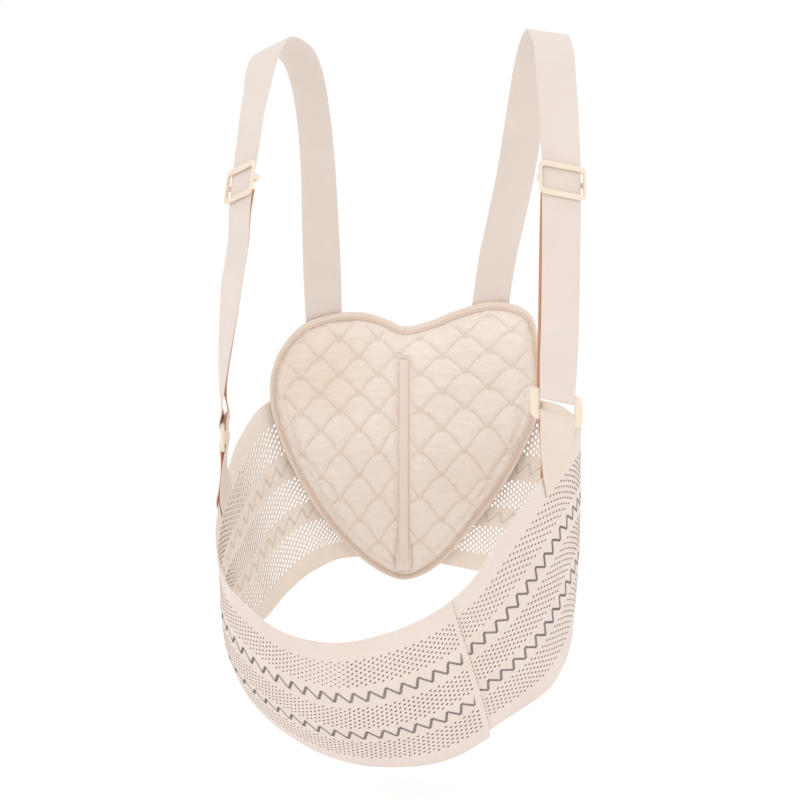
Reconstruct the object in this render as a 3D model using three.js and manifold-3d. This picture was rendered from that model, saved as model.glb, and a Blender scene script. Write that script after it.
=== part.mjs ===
// Maternity support belt: a stretch belly band with a heart-shaped back pad and two shoulder straps.
// Millimetres, +Z up, the wearer's front at -Y. The origin is the middle of the shoulder line.
import * as THREE from 'three';
import { RoundedBoxGeometry } from 'three/addons/geometries/RoundedBoxGeometry.js';
import { mergeVertices } from 'three/addons/utils/BufferGeometryUtils.js';
import Module from 'manifold-3d';

const wasm = await Module();
wasm.setup();

// Driving dimensions of the belly band
const hipHalf = 190;
const hipDepth = 150;
const waistDrop = 372;
const loopFall = 192;
const beltWidth = 185;
const knitWall = 2;
const layerGap = 0.5;
const lapReach = 2.3;
const hemTuck = 0.035;
const seamGap = 0.004;
const swellLean = 1.35;
const wingSteps = 44;
const widthSteps = 8;

// Driving dimensions of the back pad
const padHalf = 147;
const padHeight = 312;
const padDrop = 268;
const padWall = 11;
const padEdge = 6;
const padSag = 44;
const padBack = 127;
const padLean = 0.06;
const bindingWide = 9;
const bindingNarrow = 6.5;
const bindingWall = 8;
const padLining = 1;
const channelWidth = 12;
const channelWall = 2;
const channelDome = 0.6;
const channelSeat = 0.7;
const channelFrom = 0.19;
const channelTo = 0.95;

// Driving dimensions of the straps and their plastic
const strapWidth = 40;
const webWall = 1.6;
const shoulderHalf = 140;
const shoulderDepth = 120;
const ringWidth = 60;
const ringHeight = 33;
const ringBar = 9;
const ringWall = 4;
const sliderHeight = 33;
const sliderBar = 5.5;
const sliderSide = 2.4;
const sliderSlack = 1.7;
const sliderWall = 3.4;
const sliderCorner = 4.5;
const windowCorner = 3;
const centreBar = 5;
const centreWall = 3;
const returnGap = 1.2;
const clearance = 0.4;
const strapSeat = 1;

// The band's loop, one row per section, from the centre back past the viewer's left to the front.
// side and fore: place of the upper edge, as shares of hipHalf and hipDepth. fall: its share of loopFall.
// out, back and down: the way to the lower edge, as shares of beltWidth. swell: outward bow, same share.
const bandRows = [
  { side: 0.0, fore: -0.87, fall: 0.0, out: 0.0, back: 0.07, down: 0.98, swell: 0.0 },
  { side: -0.37, fore: -0.81, fall: -0.01, out: 0.04, back: 0.09, down: 0.99, swell: 0.0 },
  { side: -0.76, fore: -0.59, fall: -0.01, out: 0.25, back: 0.2, down: 1.05, swell: 0.01 },
  { side: -0.91, fore: -0.41, fall: 0.16, out: 0.24, back: 0.29, down: 1.0, swell: 0.02 },
  { side: -0.97, fore: -0.25, fall: 0.32, out: 0.2, back: 0.32, down: 0.94, swell: 0.02 },
  { side: -1.01, fore: -0.08, fall: 0.48, out: 0.13, back: 0.34, down: 0.85, swell: 0.02 },
  { side: -1.01, fore: 0.17, fall: 0.63, out: 0.07, back: 0.41, down: 0.77, swell: 0.02 },
  { side: -0.94, fore: 0.5, fall: 0.78, out: 0.02, back: 0.52, down: 0.7, swell: 0.045 },
  { side: -0.82, fore: 0.7, fall: 0.87, out: 0.0, back: 0.55, down: 0.74, swell: 0.06 },
  { side: -0.62, fore: 0.88, fall: 0.97, out: 0.0, back: 0.54, down: 0.76, swell: 0.06 },
  { side: -0.36, fore: 0.99, fall: 1.0, out: 0.0, back: 0.48, down: 0.81, swell: 0.07 },
  { side: -0.12, fore: 1.03, fall: 0.95, out: 0.03, back: 0.44, down: 0.88, swell: 0.07 },
  { side: 0.13, fore: 1.01, fall: 0.85, out: 0.11, back: 0.42, down: 0.94, swell: 0.06 },
  { side: 0.33, fore: 0.96, fall: 0.7, out: 0.26, back: 0.47, down: 0.91, swell: 0.05 },
  { side: 0.5, fore: 0.88, fall: 0.47, out: 0.3, back: 0.48, down: 1.01, swell: 0.04 },
  { side: 0.65, fore: 0.77, fall: 0.29, out: 0.245, back: 0.5, down: 1.05, swell: 0.03 },
  { side: 0.78, fore: 0.63, fall: 0.14, out: 0.15, back: 0.48, down: 1.12, swell: 0.02 },
  { side: 0.88, fore: 0.44, fall: 0.06, out: 0.07, back: 0.45, down: 1.15, swell: 0.02 },
  { side: 0.95, fore: 0.19, fall: 0.01, out: 0.01, back: 0.4, down: 1.16, swell: 0.02 },
  { side: 0.96, fore: -0.07, fall: 0.02, out: -0.03, back: 0.34, down: 1.12, swell: 0.02 },
  { side: 0.94, fore: -0.28, fall: 0.01, out: -0.07, back: 0.29, down: 1.12, swell: 0.01 },
  { side: 0.83, fore: -0.53, fall: -0.02, out: -0.12, back: 0.2, down: 1.1, swell: 0.01 },
  { side: 0.38, fore: -0.81, fall: -0.01, out: 0.0, back: 0.1, down: 1.06, swell: 0.0 },
];

// The laps' ends at the front, the hidden hem's taper and the tabs' places, in rows of the loop
const lapEndTop = 12.5;
const lapEndLow = 12.62;
const hemTuckTo = 13.2;
const hemTuckFrom = 15;
const tabLeft = { from: 4.1, to: 5.0 };
const tabRight = { from: 15.5, to: 17.0 };

// How far the tabs reach down the belt and stand above its edge, as shares of beltWidth
const tabHold = 0.1;
const tabRise = 0.012;
const tabParts = 5;

// The straps, one row per section from behind the pad over the shoulder to the ring.
// side, fore and drop: place of the middle, as shares of shoulderHalf, shoulderDepth and waistDrop.
// A null fore lies on the pad's back. yaw: the turn of the width in degrees. rise: its slope upwards.
const strapRowsLeft = [
  { side: -0.6, fore: null, drop: 0.9, yaw: -18, rise: 0.0 },
  { side: -0.61, fore: null, drop: 0.76, yaw: -18, rise: 0.0 },
  { side: -0.62, fore: -0.92, drop: 0.64, yaw: -5, rise: 0.0 },
  { side: -0.635, fore: -0.95, drop: 0.47, yaw: 15, rise: 0.0 },
  { side: -0.65, fore: -0.89, drop: 0.3, yaw: 24, rise: 0.0 },
  { side: -0.685, fore: -0.77, drop: 0.15, yaw: 27, rise: 0.0 },
  { side: -0.735, fore: -0.58, drop: 0.05, yaw: 24, rise: 0.05 },
  { side: -0.81, fore: -0.33, drop: 0.0, yaw: 15, rise: 0.2 },
  { side: -0.93, fore: -0.07, drop: -0.01, yaw: 8, rise: 0.5 },
  { side: -0.985, fore: 0.18, drop: 0.032, yaw: 25, rise: 0.4 },
  { side: -1.015, fore: 0.38, drop: 0.1, yaw: 42, rise: 0.3 },
  { side: -1.045, fore: 0.62, drop: 0.18, yaw: 50, rise: 0.25 },
  { side: -1.07, fore: 0.79, drop: 0.265, yaw: 52, rise: 0.18 },
  { side: -1.095, fore: 0.88, drop: 0.335, yaw: 54, rise: 0.18 },
  { side: -1.115, fore: 0.91, drop: 0.405, yaw: 56, rise: 0.18 },
  { side: -1.13, fore: 0.88, drop: 0.485, yaw: 58, rise: 0.2 },
  { side: -1.175, fore: 0.77, drop: 0.575, yaw: 61, rise: 0.2 },
  { side: -1.225, fore: 0.58, drop: 0.67, yaw: 65, rise: 0.25 },
  { side: -1.31, fore: 0.2, drop: 0.885, yaw: 77, rise: 0.35 },
  { side: -1.33, fore: 0.03, drop: 1.01, yaw: 89, rise: 0.3 },
];
const strapRowsRight = [
  { side: 0.61, fore: null, drop: 0.86, yaw: 18, rise: 0.0 },
  { side: 0.66, fore: null, drop: 0.72, yaw: 18, rise: 0.0 },
  { side: 0.71, fore: -0.91, drop: 0.59, yaw: 14, rise: 0.0 },
  { side: 0.78, fore: -0.95, drop: 0.47, yaw: 14, rise: 0.0 },
  { side: 0.85, fore: -0.9, drop: 0.33, yaw: 15, rise: 0.0 },
  { side: 0.905, fore: -0.77, drop: 0.175, yaw: 15, rise: 0.0 },
  { side: 0.95, fore: -0.57, drop: 0.045, yaw: 16, rise: 0.0 },
  { side: 0.985, fore: -0.32, drop: -0.022, yaw: 8, rise: -0.08 },
  { side: 1.015, fore: -0.07, drop: -0.045, yaw: 0, rise: -0.15 },
  { side: 1.045, fore: 0.17, drop: -0.005, yaw: -8, rise: -0.1 },
  { side: 1.05, fore: 0.34, drop: 0.05, yaw: -12, rise: -0.08 },
  { side: 1.057, fore: 0.62, drop: 0.16, yaw: -15, rise: -0.12 },
  { side: 1.062, fore: 0.82, drop: 0.275, yaw: -18, rise: -0.1 },
  { side: 1.062, fore: 0.89, drop: 0.33, yaw: -20, rise: -0.09 },
  { side: 1.062, fore: 0.94, drop: 0.385, yaw: -20, rise: -0.07 },
  { side: 1.062, fore: 0.975, drop: 0.52, yaw: -21, rise: -0.05 },
  { side: 1.065, fore: 0.92, drop: 0.71, yaw: -22, rise: -0.1 },
  { side: 1.065, fore: 0.82, drop: 0.83, yaw: -23, rise: -0.22 },
  { side: 1.065, fore: 0.79, drop: 0.898, yaw: -24, rise: -0.32 },
];
const sliderRow = 13;
const returnRow = 13.35;
const returnShiftLeft = -3;
const returnShiftRight = -1;

// The heart's outline, one row per bend. side: share of padHalf. drop: share of padHeight. edge: its binding.
const heartRows = [
  { side: 0.0, drop: 0.078, edge: 1 },
  { side: -0.1, drop: 0.058, edge: 1 },
  { side: -0.27, drop: 0.03, edge: 1 },
  { side: -0.43, drop: 0.026, edge: 1 },
  { side: -0.6, drop: 0.039, edge: 1 },
  { side: -0.73, drop: 0.062, edge: 0.9 },
  { side: -0.84, drop: 0.11, edge: 0.6 },
  { side: -0.92, drop: 0.17, edge: 0.3 },
  { side: -0.965, drop: 0.25, edge: 0 },
  { side: -0.96, drop: 0.34, edge: 0 },
  { side: -0.9, drop: 0.46, edge: 0 },
  { side: -0.77, drop: 0.61, edge: 0 },
  { side: -0.57, drop: 0.775, edge: 0 },
  { side: -0.33, drop: 0.905, edge: 0 },
  { side: -0.14, drop: 0.972, edge: 0 },
  { side: 0.0, drop: 0.993, edge: 0 },
  { side: 0.14, drop: 0.975, edge: 0 },
  { side: 0.3, drop: 0.918, edge: 0 },
  { side: 0.52, drop: 0.785, edge: 0 },
  { side: 0.74, drop: 0.628, edge: 0 },
  { side: 0.89, drop: 0.48, edge: 0 },
  { side: 0.965, drop: 0.38, edge: 0 },
  { side: 0.99, drop: 0.28, edge: 0 },
  { side: 0.985, drop: 0.18, edge: 0 },
  { side: 0.96, drop: 0.085, edge: 0.3 },
  { side: 0.92, drop: 0.026, edge: 0.6 },
  { side: 0.84, drop: -0.002, edge: 0.9 },
  { side: 0.73, drop: -0.014, edge: 1 },
  { side: 0.6, drop: -0.012, edge: 1 },
  { side: 0.37, drop: 0.022, edge: 1 },
  { side: 0.19, drop: 0.058, edge: 1 },
];

// Smooth curve through one value of a table, closed or open, read at a row number
function track(rows, closed, read) {
  const curve = new THREE.CatmullRomCurve3(rows.map(read), closed, 'centripetal');
  const spans = closed ? rows.length : rows.length - 1;
  return (row) => {
    const share = row / spans;
    return curve.getPoint(closed ? share - Math.floor(share) : Math.min(Math.max(share, 0), 1));
  };
}

// Closed solid between two grids of points of the same size
function gridSolid(outer, inner) {
  const rows = outer.length;
  const columns = outer[0].length;
  const positions = [];
  for (const p of [outer, inner].flat(2)) positions.push(p.x, p.y, p.z);
  const at = (side, i, j) => side * rows * columns + i * columns + j;
  const faces = [];
  const quad = (a, b, c, d) => faces.push(a, b, c, a, c, d);
  for (let i = 0; i + 1 < rows; i += 1) {
    for (let j = 0; j + 1 < columns; j += 1) {
      quad(at(0, i, j), at(0, i + 1, j), at(0, i + 1, j + 1), at(0, i, j + 1));
      quad(at(1, i, j), at(1, i, j + 1), at(1, i + 1, j + 1), at(1, i + 1, j));
    }
    quad(at(0, i, 0), at(1, i, 0), at(1, i + 1, 0), at(0, i + 1, 0));
    quad(at(0, i, columns - 1), at(0, i + 1, columns - 1), at(1, i + 1, columns - 1), at(1, i, columns - 1));
  }
  for (let j = 0; j + 1 < columns; j += 1) {
    quad(at(0, 0, j), at(0, 0, j + 1), at(1, 0, j + 1), at(1, 0, j));
    quad(at(0, rows - 1, j), at(1, rows - 1, j), at(1, rows - 1, j + 1), at(0, rows - 1, j + 1));
  }
  return outwards(solidFrom(positions, faces));
}

// Closed solid through sections that return to the first, like a tyre
function tyreSolid(sections) {
  const count = sections.length;
  const sides = sections[0].length;
  const positions = sections.flatMap((section) => section.flatMap((p) => [p.x, p.y, p.z]));
  const faces = [];
  for (let i = 0; i < count; i += 1) {
    for (let j = 0; j < sides; j += 1) {
      const a = i * sides + j;
      const b = ((i + 1) % count) * sides + j;
      const c = ((i + 1) % count) * sides + ((j + 1) % sides);
      const d = i * sides + ((j + 1) % sides);
      faces.push(a, b, c, a, c, d);
    }
  }
  return outwards(solidFrom(positions, faces));
}

function solidFrom(positions, faces) {
  const geometry = new THREE.BufferGeometry();
  geometry.setAttribute('position', new THREE.Float32BufferAttribute(positions, 3));
  geometry.setIndex(faces);
  return geometry;
}

// Turns the faces round if they point in
function outwards(geometry) {
  const p = geometry.getAttribute('position');
  const index = geometry.getIndex().array;
  const [a, b, c] = [new THREE.Vector3(), new THREE.Vector3(), new THREE.Vector3()];
  let volume = 0;
  for (let i = 0; i < index.length; i += 3) {
    a.fromBufferAttribute(p, index[i]);
    b.fromBufferAttribute(p, index[i + 1]);
    c.fromBufferAttribute(p, index[i + 2]);
    volume += a.dot(b.cross(c));
  }
  if (volume < 0) geometry.setIndex(Array.from(index).reverse());
  geometry.computeVertexNormals();
  return geometry;
}

// Joins closed geometries into one solid
function joined(geometries) {
  const solids = geometries.map((geometry) => {
    const bare = geometry.clone();
    bare.deleteAttribute('normal');
    bare.deleteAttribute('uv');
    const merged = mergeVertices(bare, 1e-4);
    const vertProperties = Float32Array.from(merged.getAttribute('position').array);
    const triVerts = Uint32Array.from(merged.getIndex().array);
    return new wasm.Manifold(new wasm.Mesh({ numProp: 3, vertProperties, triVerts }));
  });
  const whole = solids.slice(1).reduce((sum, solid) => sum.add(solid), solids[0]);
  const mesh = whole.getMesh();
  return outwards(solidFrom(Array.from(mesh.vertProperties), Array.from(mesh.triVerts)));
}

const steps = (count) => Array.from({ length: count + 1 }, (_, i) => i / count);

// The band's surface at a row of the loop, a share of its width and a distance outwards
const bandEdge = track(bandRows, true, (r) => new THREE.Vector3(
  r.side * hipHalf, -r.fore * hipDepth, -waistDrop - r.fall * loopFall));
const bandCross = track(bandRows, true, (r) => new THREE.Vector3(
  r.out * beltWidth, r.back * beltWidth, -r.down * beltWidth));
const bandSwell = track(bandRows, true, (r) => new THREE.Vector3(r.swell * beltWidth, 0, 0));

function bandMiddle(row, share) {
  const cross = bandCross(row);
  const along = bandEdge(row + 0.2).sub(bandEdge(row - 0.2));
  const away = new THREE.Vector3().crossVectors(along, cross).normalize();
  const bow = bandSwell(row).x * Math.sin(Math.PI * THREE.MathUtils.clamp(share, 0, 1) ** swellLean);
  return bandEdge(row).addScaledVector(cross, share).addScaledVector(away, -bow);
}

function bandPoint(row, share, offset) {
  const along = bandMiddle(row + 0.15, share).sub(bandMiddle(row - 0.15, share));
  const across = bandMiddle(row, share + 0.02).sub(bandMiddle(row, share - 0.02));
  const outside = new THREE.Vector3().crossVectors(across, along).normalize();
  return bandMiddle(row, share).addScaledVector(outside, offset);
}

// A wing: a wall of knit between two rows of the loop, at a distance from the loop's surface
function wing(rowAt, widthAt, offset) {
  const wall = (side) => steps(wingSteps).map((t) => steps(widthSteps).map((share) =>
    bandPoint(rowAt(t, share), share * widthAt(t), offset + side * knitWall / 2)));
  return gridSolid(wall(1), wall(-1));
}

const lapEnd = (share) => THREE.MathUtils.lerp(lapEndTop, lapEndLow, share);
const innerLayer = -knitWall - layerGap;
const loopRows = bandRows.length;
const tuckedWidth = (row) => 1 - hemTuck * (1 - THREE.MathUtils.smoothstep(row, hemTuckTo, hemTuckFrom));
const wingLeft = wing((t, share) => THREE.MathUtils.lerp(seamGap, lapEnd(share), t), () => 1, 0);
const rightRow = (t, share) => THREE.MathUtils.lerp(loopRows - seamGap, lapEnd(share) - lapReach, t);
const wingRight = wing(rightRow, (t) => tuckedWidth(rightRow(t, 0.5)), innerLayer);

// The pad's curved back and its swollen front
const padBackAt = (x, z) => padBack - padSag * (x / padHalf) ** 2 - padLean * (z + waistDrop);
const heartPoint = track(heartRows, true, (r) => new THREE.Vector3(
  r.side * padHalf, r.edge, -padDrop - r.drop * padHeight));
const heartSteps = 96;
const heartLine = steps(heartSteps).slice(0, -1).map((t) => heartPoint(t * heartRows.length));
const padCentre = new THREE.Vector3(0, 0, -padDrop - 0.4 * padHeight);

// Outward direction of the heart's outline in its own plane
function heartOut(i) {
  const before = heartLine[(i + heartSteps - 2) % heartSteps];
  const after = heartLine[(i + 2) % heartSteps];
  return new THREE.Vector3(after.z - before.z, 0, before.x - after.x).normalize();
}

const bindingWidth = (i) => THREE.MathUtils.lerp(bindingNarrow, bindingWide, heartLine[i].y);

function padBinding() {
  const sides = 10;
  const sections = heartLine.map((p, i) => {
    const out = heartOut(i);
    const half = bindingWidth(i) / 2;
    return Array.from({ length: sides }, (_, k) => {
      const turn = (2 * Math.PI * k) / sides;
      const square = (value) => Math.sign(value) * Math.abs(value) ** 0.6;
      const inward = half - half * square(Math.cos(turn));
      const x = p.x - out.x * inward;
      const z = p.z - out.z * inward;
      const y = padBackAt(x, z) - bindingWall / 2 + square(Math.sin(turn)) * bindingWall / 2;
      return new THREE.Vector3(x, y, z);
    });
  });
  return tyreSolid(sections);
}

const padRings = [1, 0.985, 0.95, 0.86, 0.7, 0.5, 0.25];
const padFrontAt = (x, z, ring) => padBackAt(x, z) - THREE.MathUtils.lerp(padWall, padEdge, ring ** 6);

function backPad() {
  const inset = (i) => {
    const out = heartOut(i);
    const gap = bindingWidth(i) + clearance;
    return new THREE.Vector3(heartLine[i].x - out.x * gap, 0, heartLine[i].z - out.z * gap);
  };
  const rim = heartLine.map((_, i) => inset(i));
  const ringPoints = (ring, isFront) => rim.map((p) => {
    const q = new THREE.Vector3().lerpVectors(padCentre, p, ring);
    q.y = isFront ? padFrontAt(q.x, q.z, ring) : padBackAt(q.x, q.z) - padLining;
    return q;
  });
  const layers = [
    ...[...padRings].reverse().map((ring) => ringPoints(ring, true)),
    ...padRings.map((ring) => ringPoints(ring, false)),
  ];
  const positions = layers.flatMap((layer) => layer.flatMap((p) => [p.x, p.y, p.z]));
  const faces = [];
  for (let i = 0; i + 1 < layers.length; i += 1) {
    for (let j = 0; j < heartSteps; j += 1) {
      const a = i * heartSteps + j;
      const b = i * heartSteps + ((j + 1) % heartSteps);
      faces.push(a, b, b + heartSteps, a, b + heartSteps, a + heartSteps);
    }
  }
  const caps = [
    [0, padFrontAt(0, padCentre.z, 0)],
    [layers.length - 1, padBackAt(0, padCentre.z) - padLining],
  ];
  caps.forEach(([layer, y], side) => {
    const middle = positions.length / 3;
    positions.push(padCentre.x, y, padCentre.z);
    for (let j = 0; j < heartSteps; j += 1) {
      const a = layer * heartSteps + j;
      const b = layer * heartSteps + ((j + 1) % heartSteps);
      if (side === 0) faces.push(middle, b, a);
      else faces.push(middle, a, b);
    }
  });
  return outwards(solidFrom(positions, faces));
}

// The stitched channel on the pad's front, from below the cleft to above the tip
const channelTop = padDrop + channelFrom * padHeight;
const channelLow = padDrop + channelTo * padHeight;

function boneChannel() {
  const face = (depth) => steps(12).map((t) => steps(4).map((share) => {
    const x = (share - 0.5) * channelWidth;
    const z = -THREE.MathUtils.lerp(channelTop, channelLow, t);
    const bulge = 1 - channelDome * (2 * share - 1) ** 2;
    const base = padFrontAt(0, z, 0) - channelSeat;
    return new THREE.Vector3(x, base - depth * channelWall * bulge, z);
  }));
  return gridSolid(face(1), face(0));
}

// A ribbon of webbing whose middle surface runs through stations, each a row of points across it
function ribbon(stations, wall) {
  const normal = (i, k) => {
    const before = stations[Math.max(i - 1, 0)][k];
    const after = stations[Math.min(i + 1, stations.length - 1)][k];
    const station = stations[i];
    const wide = station[Math.min(k + 1, station.length - 1)].clone().sub(station[Math.max(k - 1, 0)]);
    return wide.cross(after.clone().sub(before)).normalize();
  };
  const normals = stations.map((station, i) => station.map((_, k) => normal(i, k)));
  const face = (side) => stations.map((station, i) => station.map((point, k) =>
    point.clone().addScaledVector(normals[i][k], side * wall / 2)));
  return gridSolid(face(1), face(-1));
}

// A strap's course: its place, width direction, downward course and outward normal at a row
function strapCourse(rows) {
  const middle = track(rows, false, (r) => {
    const place = new THREE.Vector3(r.side * shoulderHalf, 0, -r.drop * waistDrop);
    const onPad = padBackAt(place.x, place.z) + strapSeat + webWall / 2;
    return place.setY(r.fore === null ? onPad : -r.fore * shoulderDepth);
  });
  const turn = track(rows, false, (r) => new THREE.Vector3(r.yaw, r.rise * 100, 0));
  const last = rows.length - 1;
  return (row) => {
    const place = middle(row);
    const along = middle(Math.min(row + 0.1, last)).sub(middle(Math.max(row - 0.1, 0))).normalize();
    const { x: yaw, y: rise } = turn(row);
    const angle = THREE.MathUtils.degToRad(yaw);
    const width = new THREE.Vector3(Math.cos(angle), -Math.sin(angle), 0);
    width.addScaledVector(along, -width.dot(along)).normalize();
    width.z += rise / 100;
    width.normalize();
    const out = new THREE.Vector3().crossVectors(along, width).normalize();
    return { place, width, along, out };
  };
}

const foldRadius = ringWall / 2 + clearance + webWall / 2;
const foldSpacing = ringHeight - 2 * ringBar + ringWall;

const across = (centre, width, parts) => steps(parts).map((share) =>
  centre.clone().addScaledVector(width, (share - 0.5) * strapWidth));

// Strap, slider, ring and tab of one side
function harness(rows, tabPlace, tabOffset, returnShift) {
  const last = rows.length - 1;
  const course = strapCourse(rows);
  const { place: endPlace, width: endWidth } = course(last);
  const held = bandPoint((tabPlace.from + tabPlace.to) / 2, 0, tabOffset);
  const hang = held.sub(endPlace).normalize();
  const end = { width: endWidth, out: new THREE.Vector3().crossVectors(hang, endWidth).normalize() };
  const barTop = endPlace.clone().addScaledVector(end.out, -foldRadius);
  const barLow = barTop.clone().addScaledVector(hang, foldSpacing);

  // The strap leaves its course a little above the ring, to hang straight at the bar
  const straighten = 2 * ringBar;
  let lead = last;
  while (course(lead).place.distanceTo(endPlace) < straighten) lead -= 0.02;
  const besideBar = hang.clone().multiplyScalar(-ringBar);
  const stations = steps(66).map((t) => {
    const { place, width } = course(t * lead);
    return across(place, width, 2);
  });
  stations.push(across(endPlace.clone().add(besideBar), end.width, 2), across(endPlace, end.width, 2));
  for (const t of steps(6).slice(1)) {
    const angle = Math.PI * t;
    const centre = barTop.clone()
      .addScaledVector(end.out, foldRadius * Math.cos(angle))
      .addScaledVector(hang, foldRadius * Math.sin(angle));
    stations.push(across(centre, end.width, 2));
  }
  const behindBar = endPlace.clone().addScaledVector(end.out, -2 * foldRadius).add(besideBar);
  stations.push(across(behindBar, end.width, 2));
  for (const t of steps(14)) {
    const { place, width, out } = course(THREE.MathUtils.lerp(lead, returnRow, t));
    const spread = THREE.MathUtils.lerp(2 * foldRadius, webWall + returnGap, t);
    const shift = returnShift * Math.sin(Math.PI * t);
    const centre = place.clone().addScaledVector(out, -spread).addScaledVector(width, shift);
    stations.push(across(centre, width, 2));
  }
  const strap = ribbon(stations, webWall);

  // The tab hugs the ring's lower bar and holds the belt's edge from both sides
  const tabStations = [];
  const apart = knitWall / 2 + clearance + webWall / 2;
  const hold = (share, side) => steps(tabParts).map((t) =>
    bandPoint(THREE.MathUtils.lerp(tabPlace.from, tabPlace.to, t), share, tabOffset + side * apart));
  const edge = (side) => hold(-tabRise, side);
  const besideLow = (side) => {
    const centre = barLow.clone().addScaledVector(end.out, side * foldRadius);
    return across(centre.addScaledVector(hang, ringBar), end.width, tabParts);
  };
  tabStations.push(hold(tabHold, 1), hold(tabHold / 2, 1), edge(1), besideLow(1));
  for (const t of steps(8)) {
    const angle = Math.PI * t;
    const centre = barLow.clone()
      .addScaledVector(end.out, foldRadius * Math.cos(angle))
      .addScaledVector(hang, -foldRadius * Math.sin(angle));
    tabStations.push(across(centre, end.width, tabParts));
  }
  tabStations.push(besideLow(-1), edge(-1), hold(tabHold / 2, -1), hold(tabHold, -1));
  const tab = ribbon(tabStations, webWall);

  return { strap, tab, end, barTop, hang, course };
}

// The rectangular ring: a flat bar with rounded edges, led round a rounded rectangle in the strap's plane
function ringSolid({ end, barTop, hang }) {
  const halfWide = ringWidth / 2 - ringBar / 2;
  const halfHigh = ringHeight / 2 - ringBar / 2;
  const corner = 0.6 * ringBar;
  const centre = barTop.clone().addScaledVector(hang, foldSpacing / 2);
  const path = [];
  for (const [sx, sy, start] of [[1, 1, 0], [-1, 1, 90], [-1, -1, 180], [1, -1, 270]]) {
    for (const t of steps(3)) {
      const angle = THREE.MathUtils.degToRad(start + 90 * t);
      const out = new THREE.Vector2(Math.cos(angle), Math.sin(angle));
      path.push({
        u: sx * (halfWide - corner) + corner * out.x,
        v: sy * (halfHigh - corner) + corner * out.y,
        out,
      });
    }
  }
  const sides = 10;
  const flat = ringBar / 2 - ringWall / 2;
  const sections = path.map(({ u, v, out }) => Array.from({ length: sides }, (_, k) => {
    const turn = (2 * Math.PI * (k + 0.5)) / sides;
    const reach = Math.sign(Math.cos(turn)) * flat + Math.cos(turn) * ringWall / 2;
    return centre.clone()
      .addScaledVector(end.width, u + out.x * reach)
      .addScaledVector(hang, -(v + out.y * reach))
      .addScaledVector(end.out, Math.sin(turn) * ringWall / 2);
  }));
  return tyreSolid(sections);
}

// The slider: a frame in front of the strap, cheeks beside it and a centre bar behind it
function sliderSolid({ course }) {
  const frame = course(sliderRow);
  const inner = strapWidth + 2 * sliderSlack;
  const outer = inner + 2 * sliderSide;
  const outline = new THREE.Shape();
  roundedRectangle(outline, outer, sliderHeight, sliderCorner);
  const window = new THREE.Path();
  roundedRectangle(window, inner, sliderHeight - 2 * sliderBar, windowCorner);
  outline.holes.push(window);
  const extrusion = { depth: sliderWall, bevelEnabled: false, curveSegments: 5 };
  const lift = webWall / 2 + clearance;
  const front = new THREE.ExtrudeGeometry(outline, extrusion).translate(0, 0, lift);
  const cheekDeep = 2 * lift + centreWall / 2 + sliderWall / 2;
  const cheekHigh = 2 * centreBar;
  const cheekWide = 0.8 * sliderSide;
  const cheeks = [-1, 1].map((side) => {
    const cheek = new RoundedBoxGeometry(cheekWide, cheekHigh, cheekDeep, 1, cheekWide / 4);
    return cheek.translate(side * (inner / 2 + sliderSide / 2), 0, lift + sliderWall / 2 - cheekDeep / 2);
  });
  const bar = new RoundedBoxGeometry(inner + sliderSide, centreBar, centreWall, 2, centreWall / 3);
  bar.translate(0, 0, -lift - centreWall / 2);
  const whole = joined([front, ...cheeks, bar]);
  const place = new THREE.Matrix4().makeBasis(frame.width, frame.along.clone().negate(), frame.out);
  place.setPosition(frame.place);
  return whole.applyMatrix4(place);
}

function roundedRectangle(path, wide, high, corner) {
  const [x, y] = [wide / 2, high / 2];
  path.moveTo(-x + corner, -y);
  path.lineTo(x - corner, -y);
  path.absarc(x - corner, -y + corner, corner, -Math.PI / 2, 0);
  path.lineTo(x, y - corner);
  path.absarc(x - corner, y - corner, corner, 0, Math.PI / 2);
  path.lineTo(-x + corner, y);
  path.absarc(-x + corner, y - corner, corner, Math.PI / 2, Math.PI);
  path.lineTo(-x, -y + corner);
  path.absarc(-x + corner, -y + corner, corner, Math.PI, 1.5 * Math.PI);
}

const left = harness(strapRowsLeft, tabLeft, 0, returnShiftLeft);
const right = harness(strapRowsRight, tabRight, innerLayer, returnShiftRight);

// Materials
const finish = (color, roughness) => new THREE.MeshStandardMaterial({ color, roughness, metalness: 0 });
const knit = () => finish(0xecdfd7, 0.9);
const webbing = () => finish(0xe8dcd3, 0.85);
const padCloth = () => finish(0xf0d9ca, 0.9);
const plastic = () => finish(0xf5e0c8, 0.45);

const belt = new THREE.Group();
const add = (name, geometry, material) => {
  const mesh = new THREE.Mesh(geometry, material);
  mesh.name = name;
  belt.add(mesh);
};
add('wing_left', wingLeft, knit());
add('wing_right', wingRight, knit());
add('back_pad', backPad(), padCloth());
add('pad_binding', padBinding(), padCloth());
add('bone_channel', boneChannel(), padCloth());
for (const [side, set] of [['left', left], ['right', right]]) {
  add(`strap_${side}`, set.strap, webbing());
  add(`tab_${side}`, set.tab, webbing());
  add(`slider_${side}`, sliderSolid(set), plastic());
  add(`ring_${side}`, ringSolid(set), plastic());
}

export default belt;
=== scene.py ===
# Maternity support belt: a stretch belly band, a quilted heart-shaped back pad and two shoulder straps.
# Metres, +Z up, the wearer's front at -Y, with the origin in the middle of the shoulder line.
import math

import bpy
import numpy as np
from mathutils import Matrix, Vector, noise
from mathutils.bvhtree import BVHTree
from mathutils.kdtree import KDTree


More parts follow.
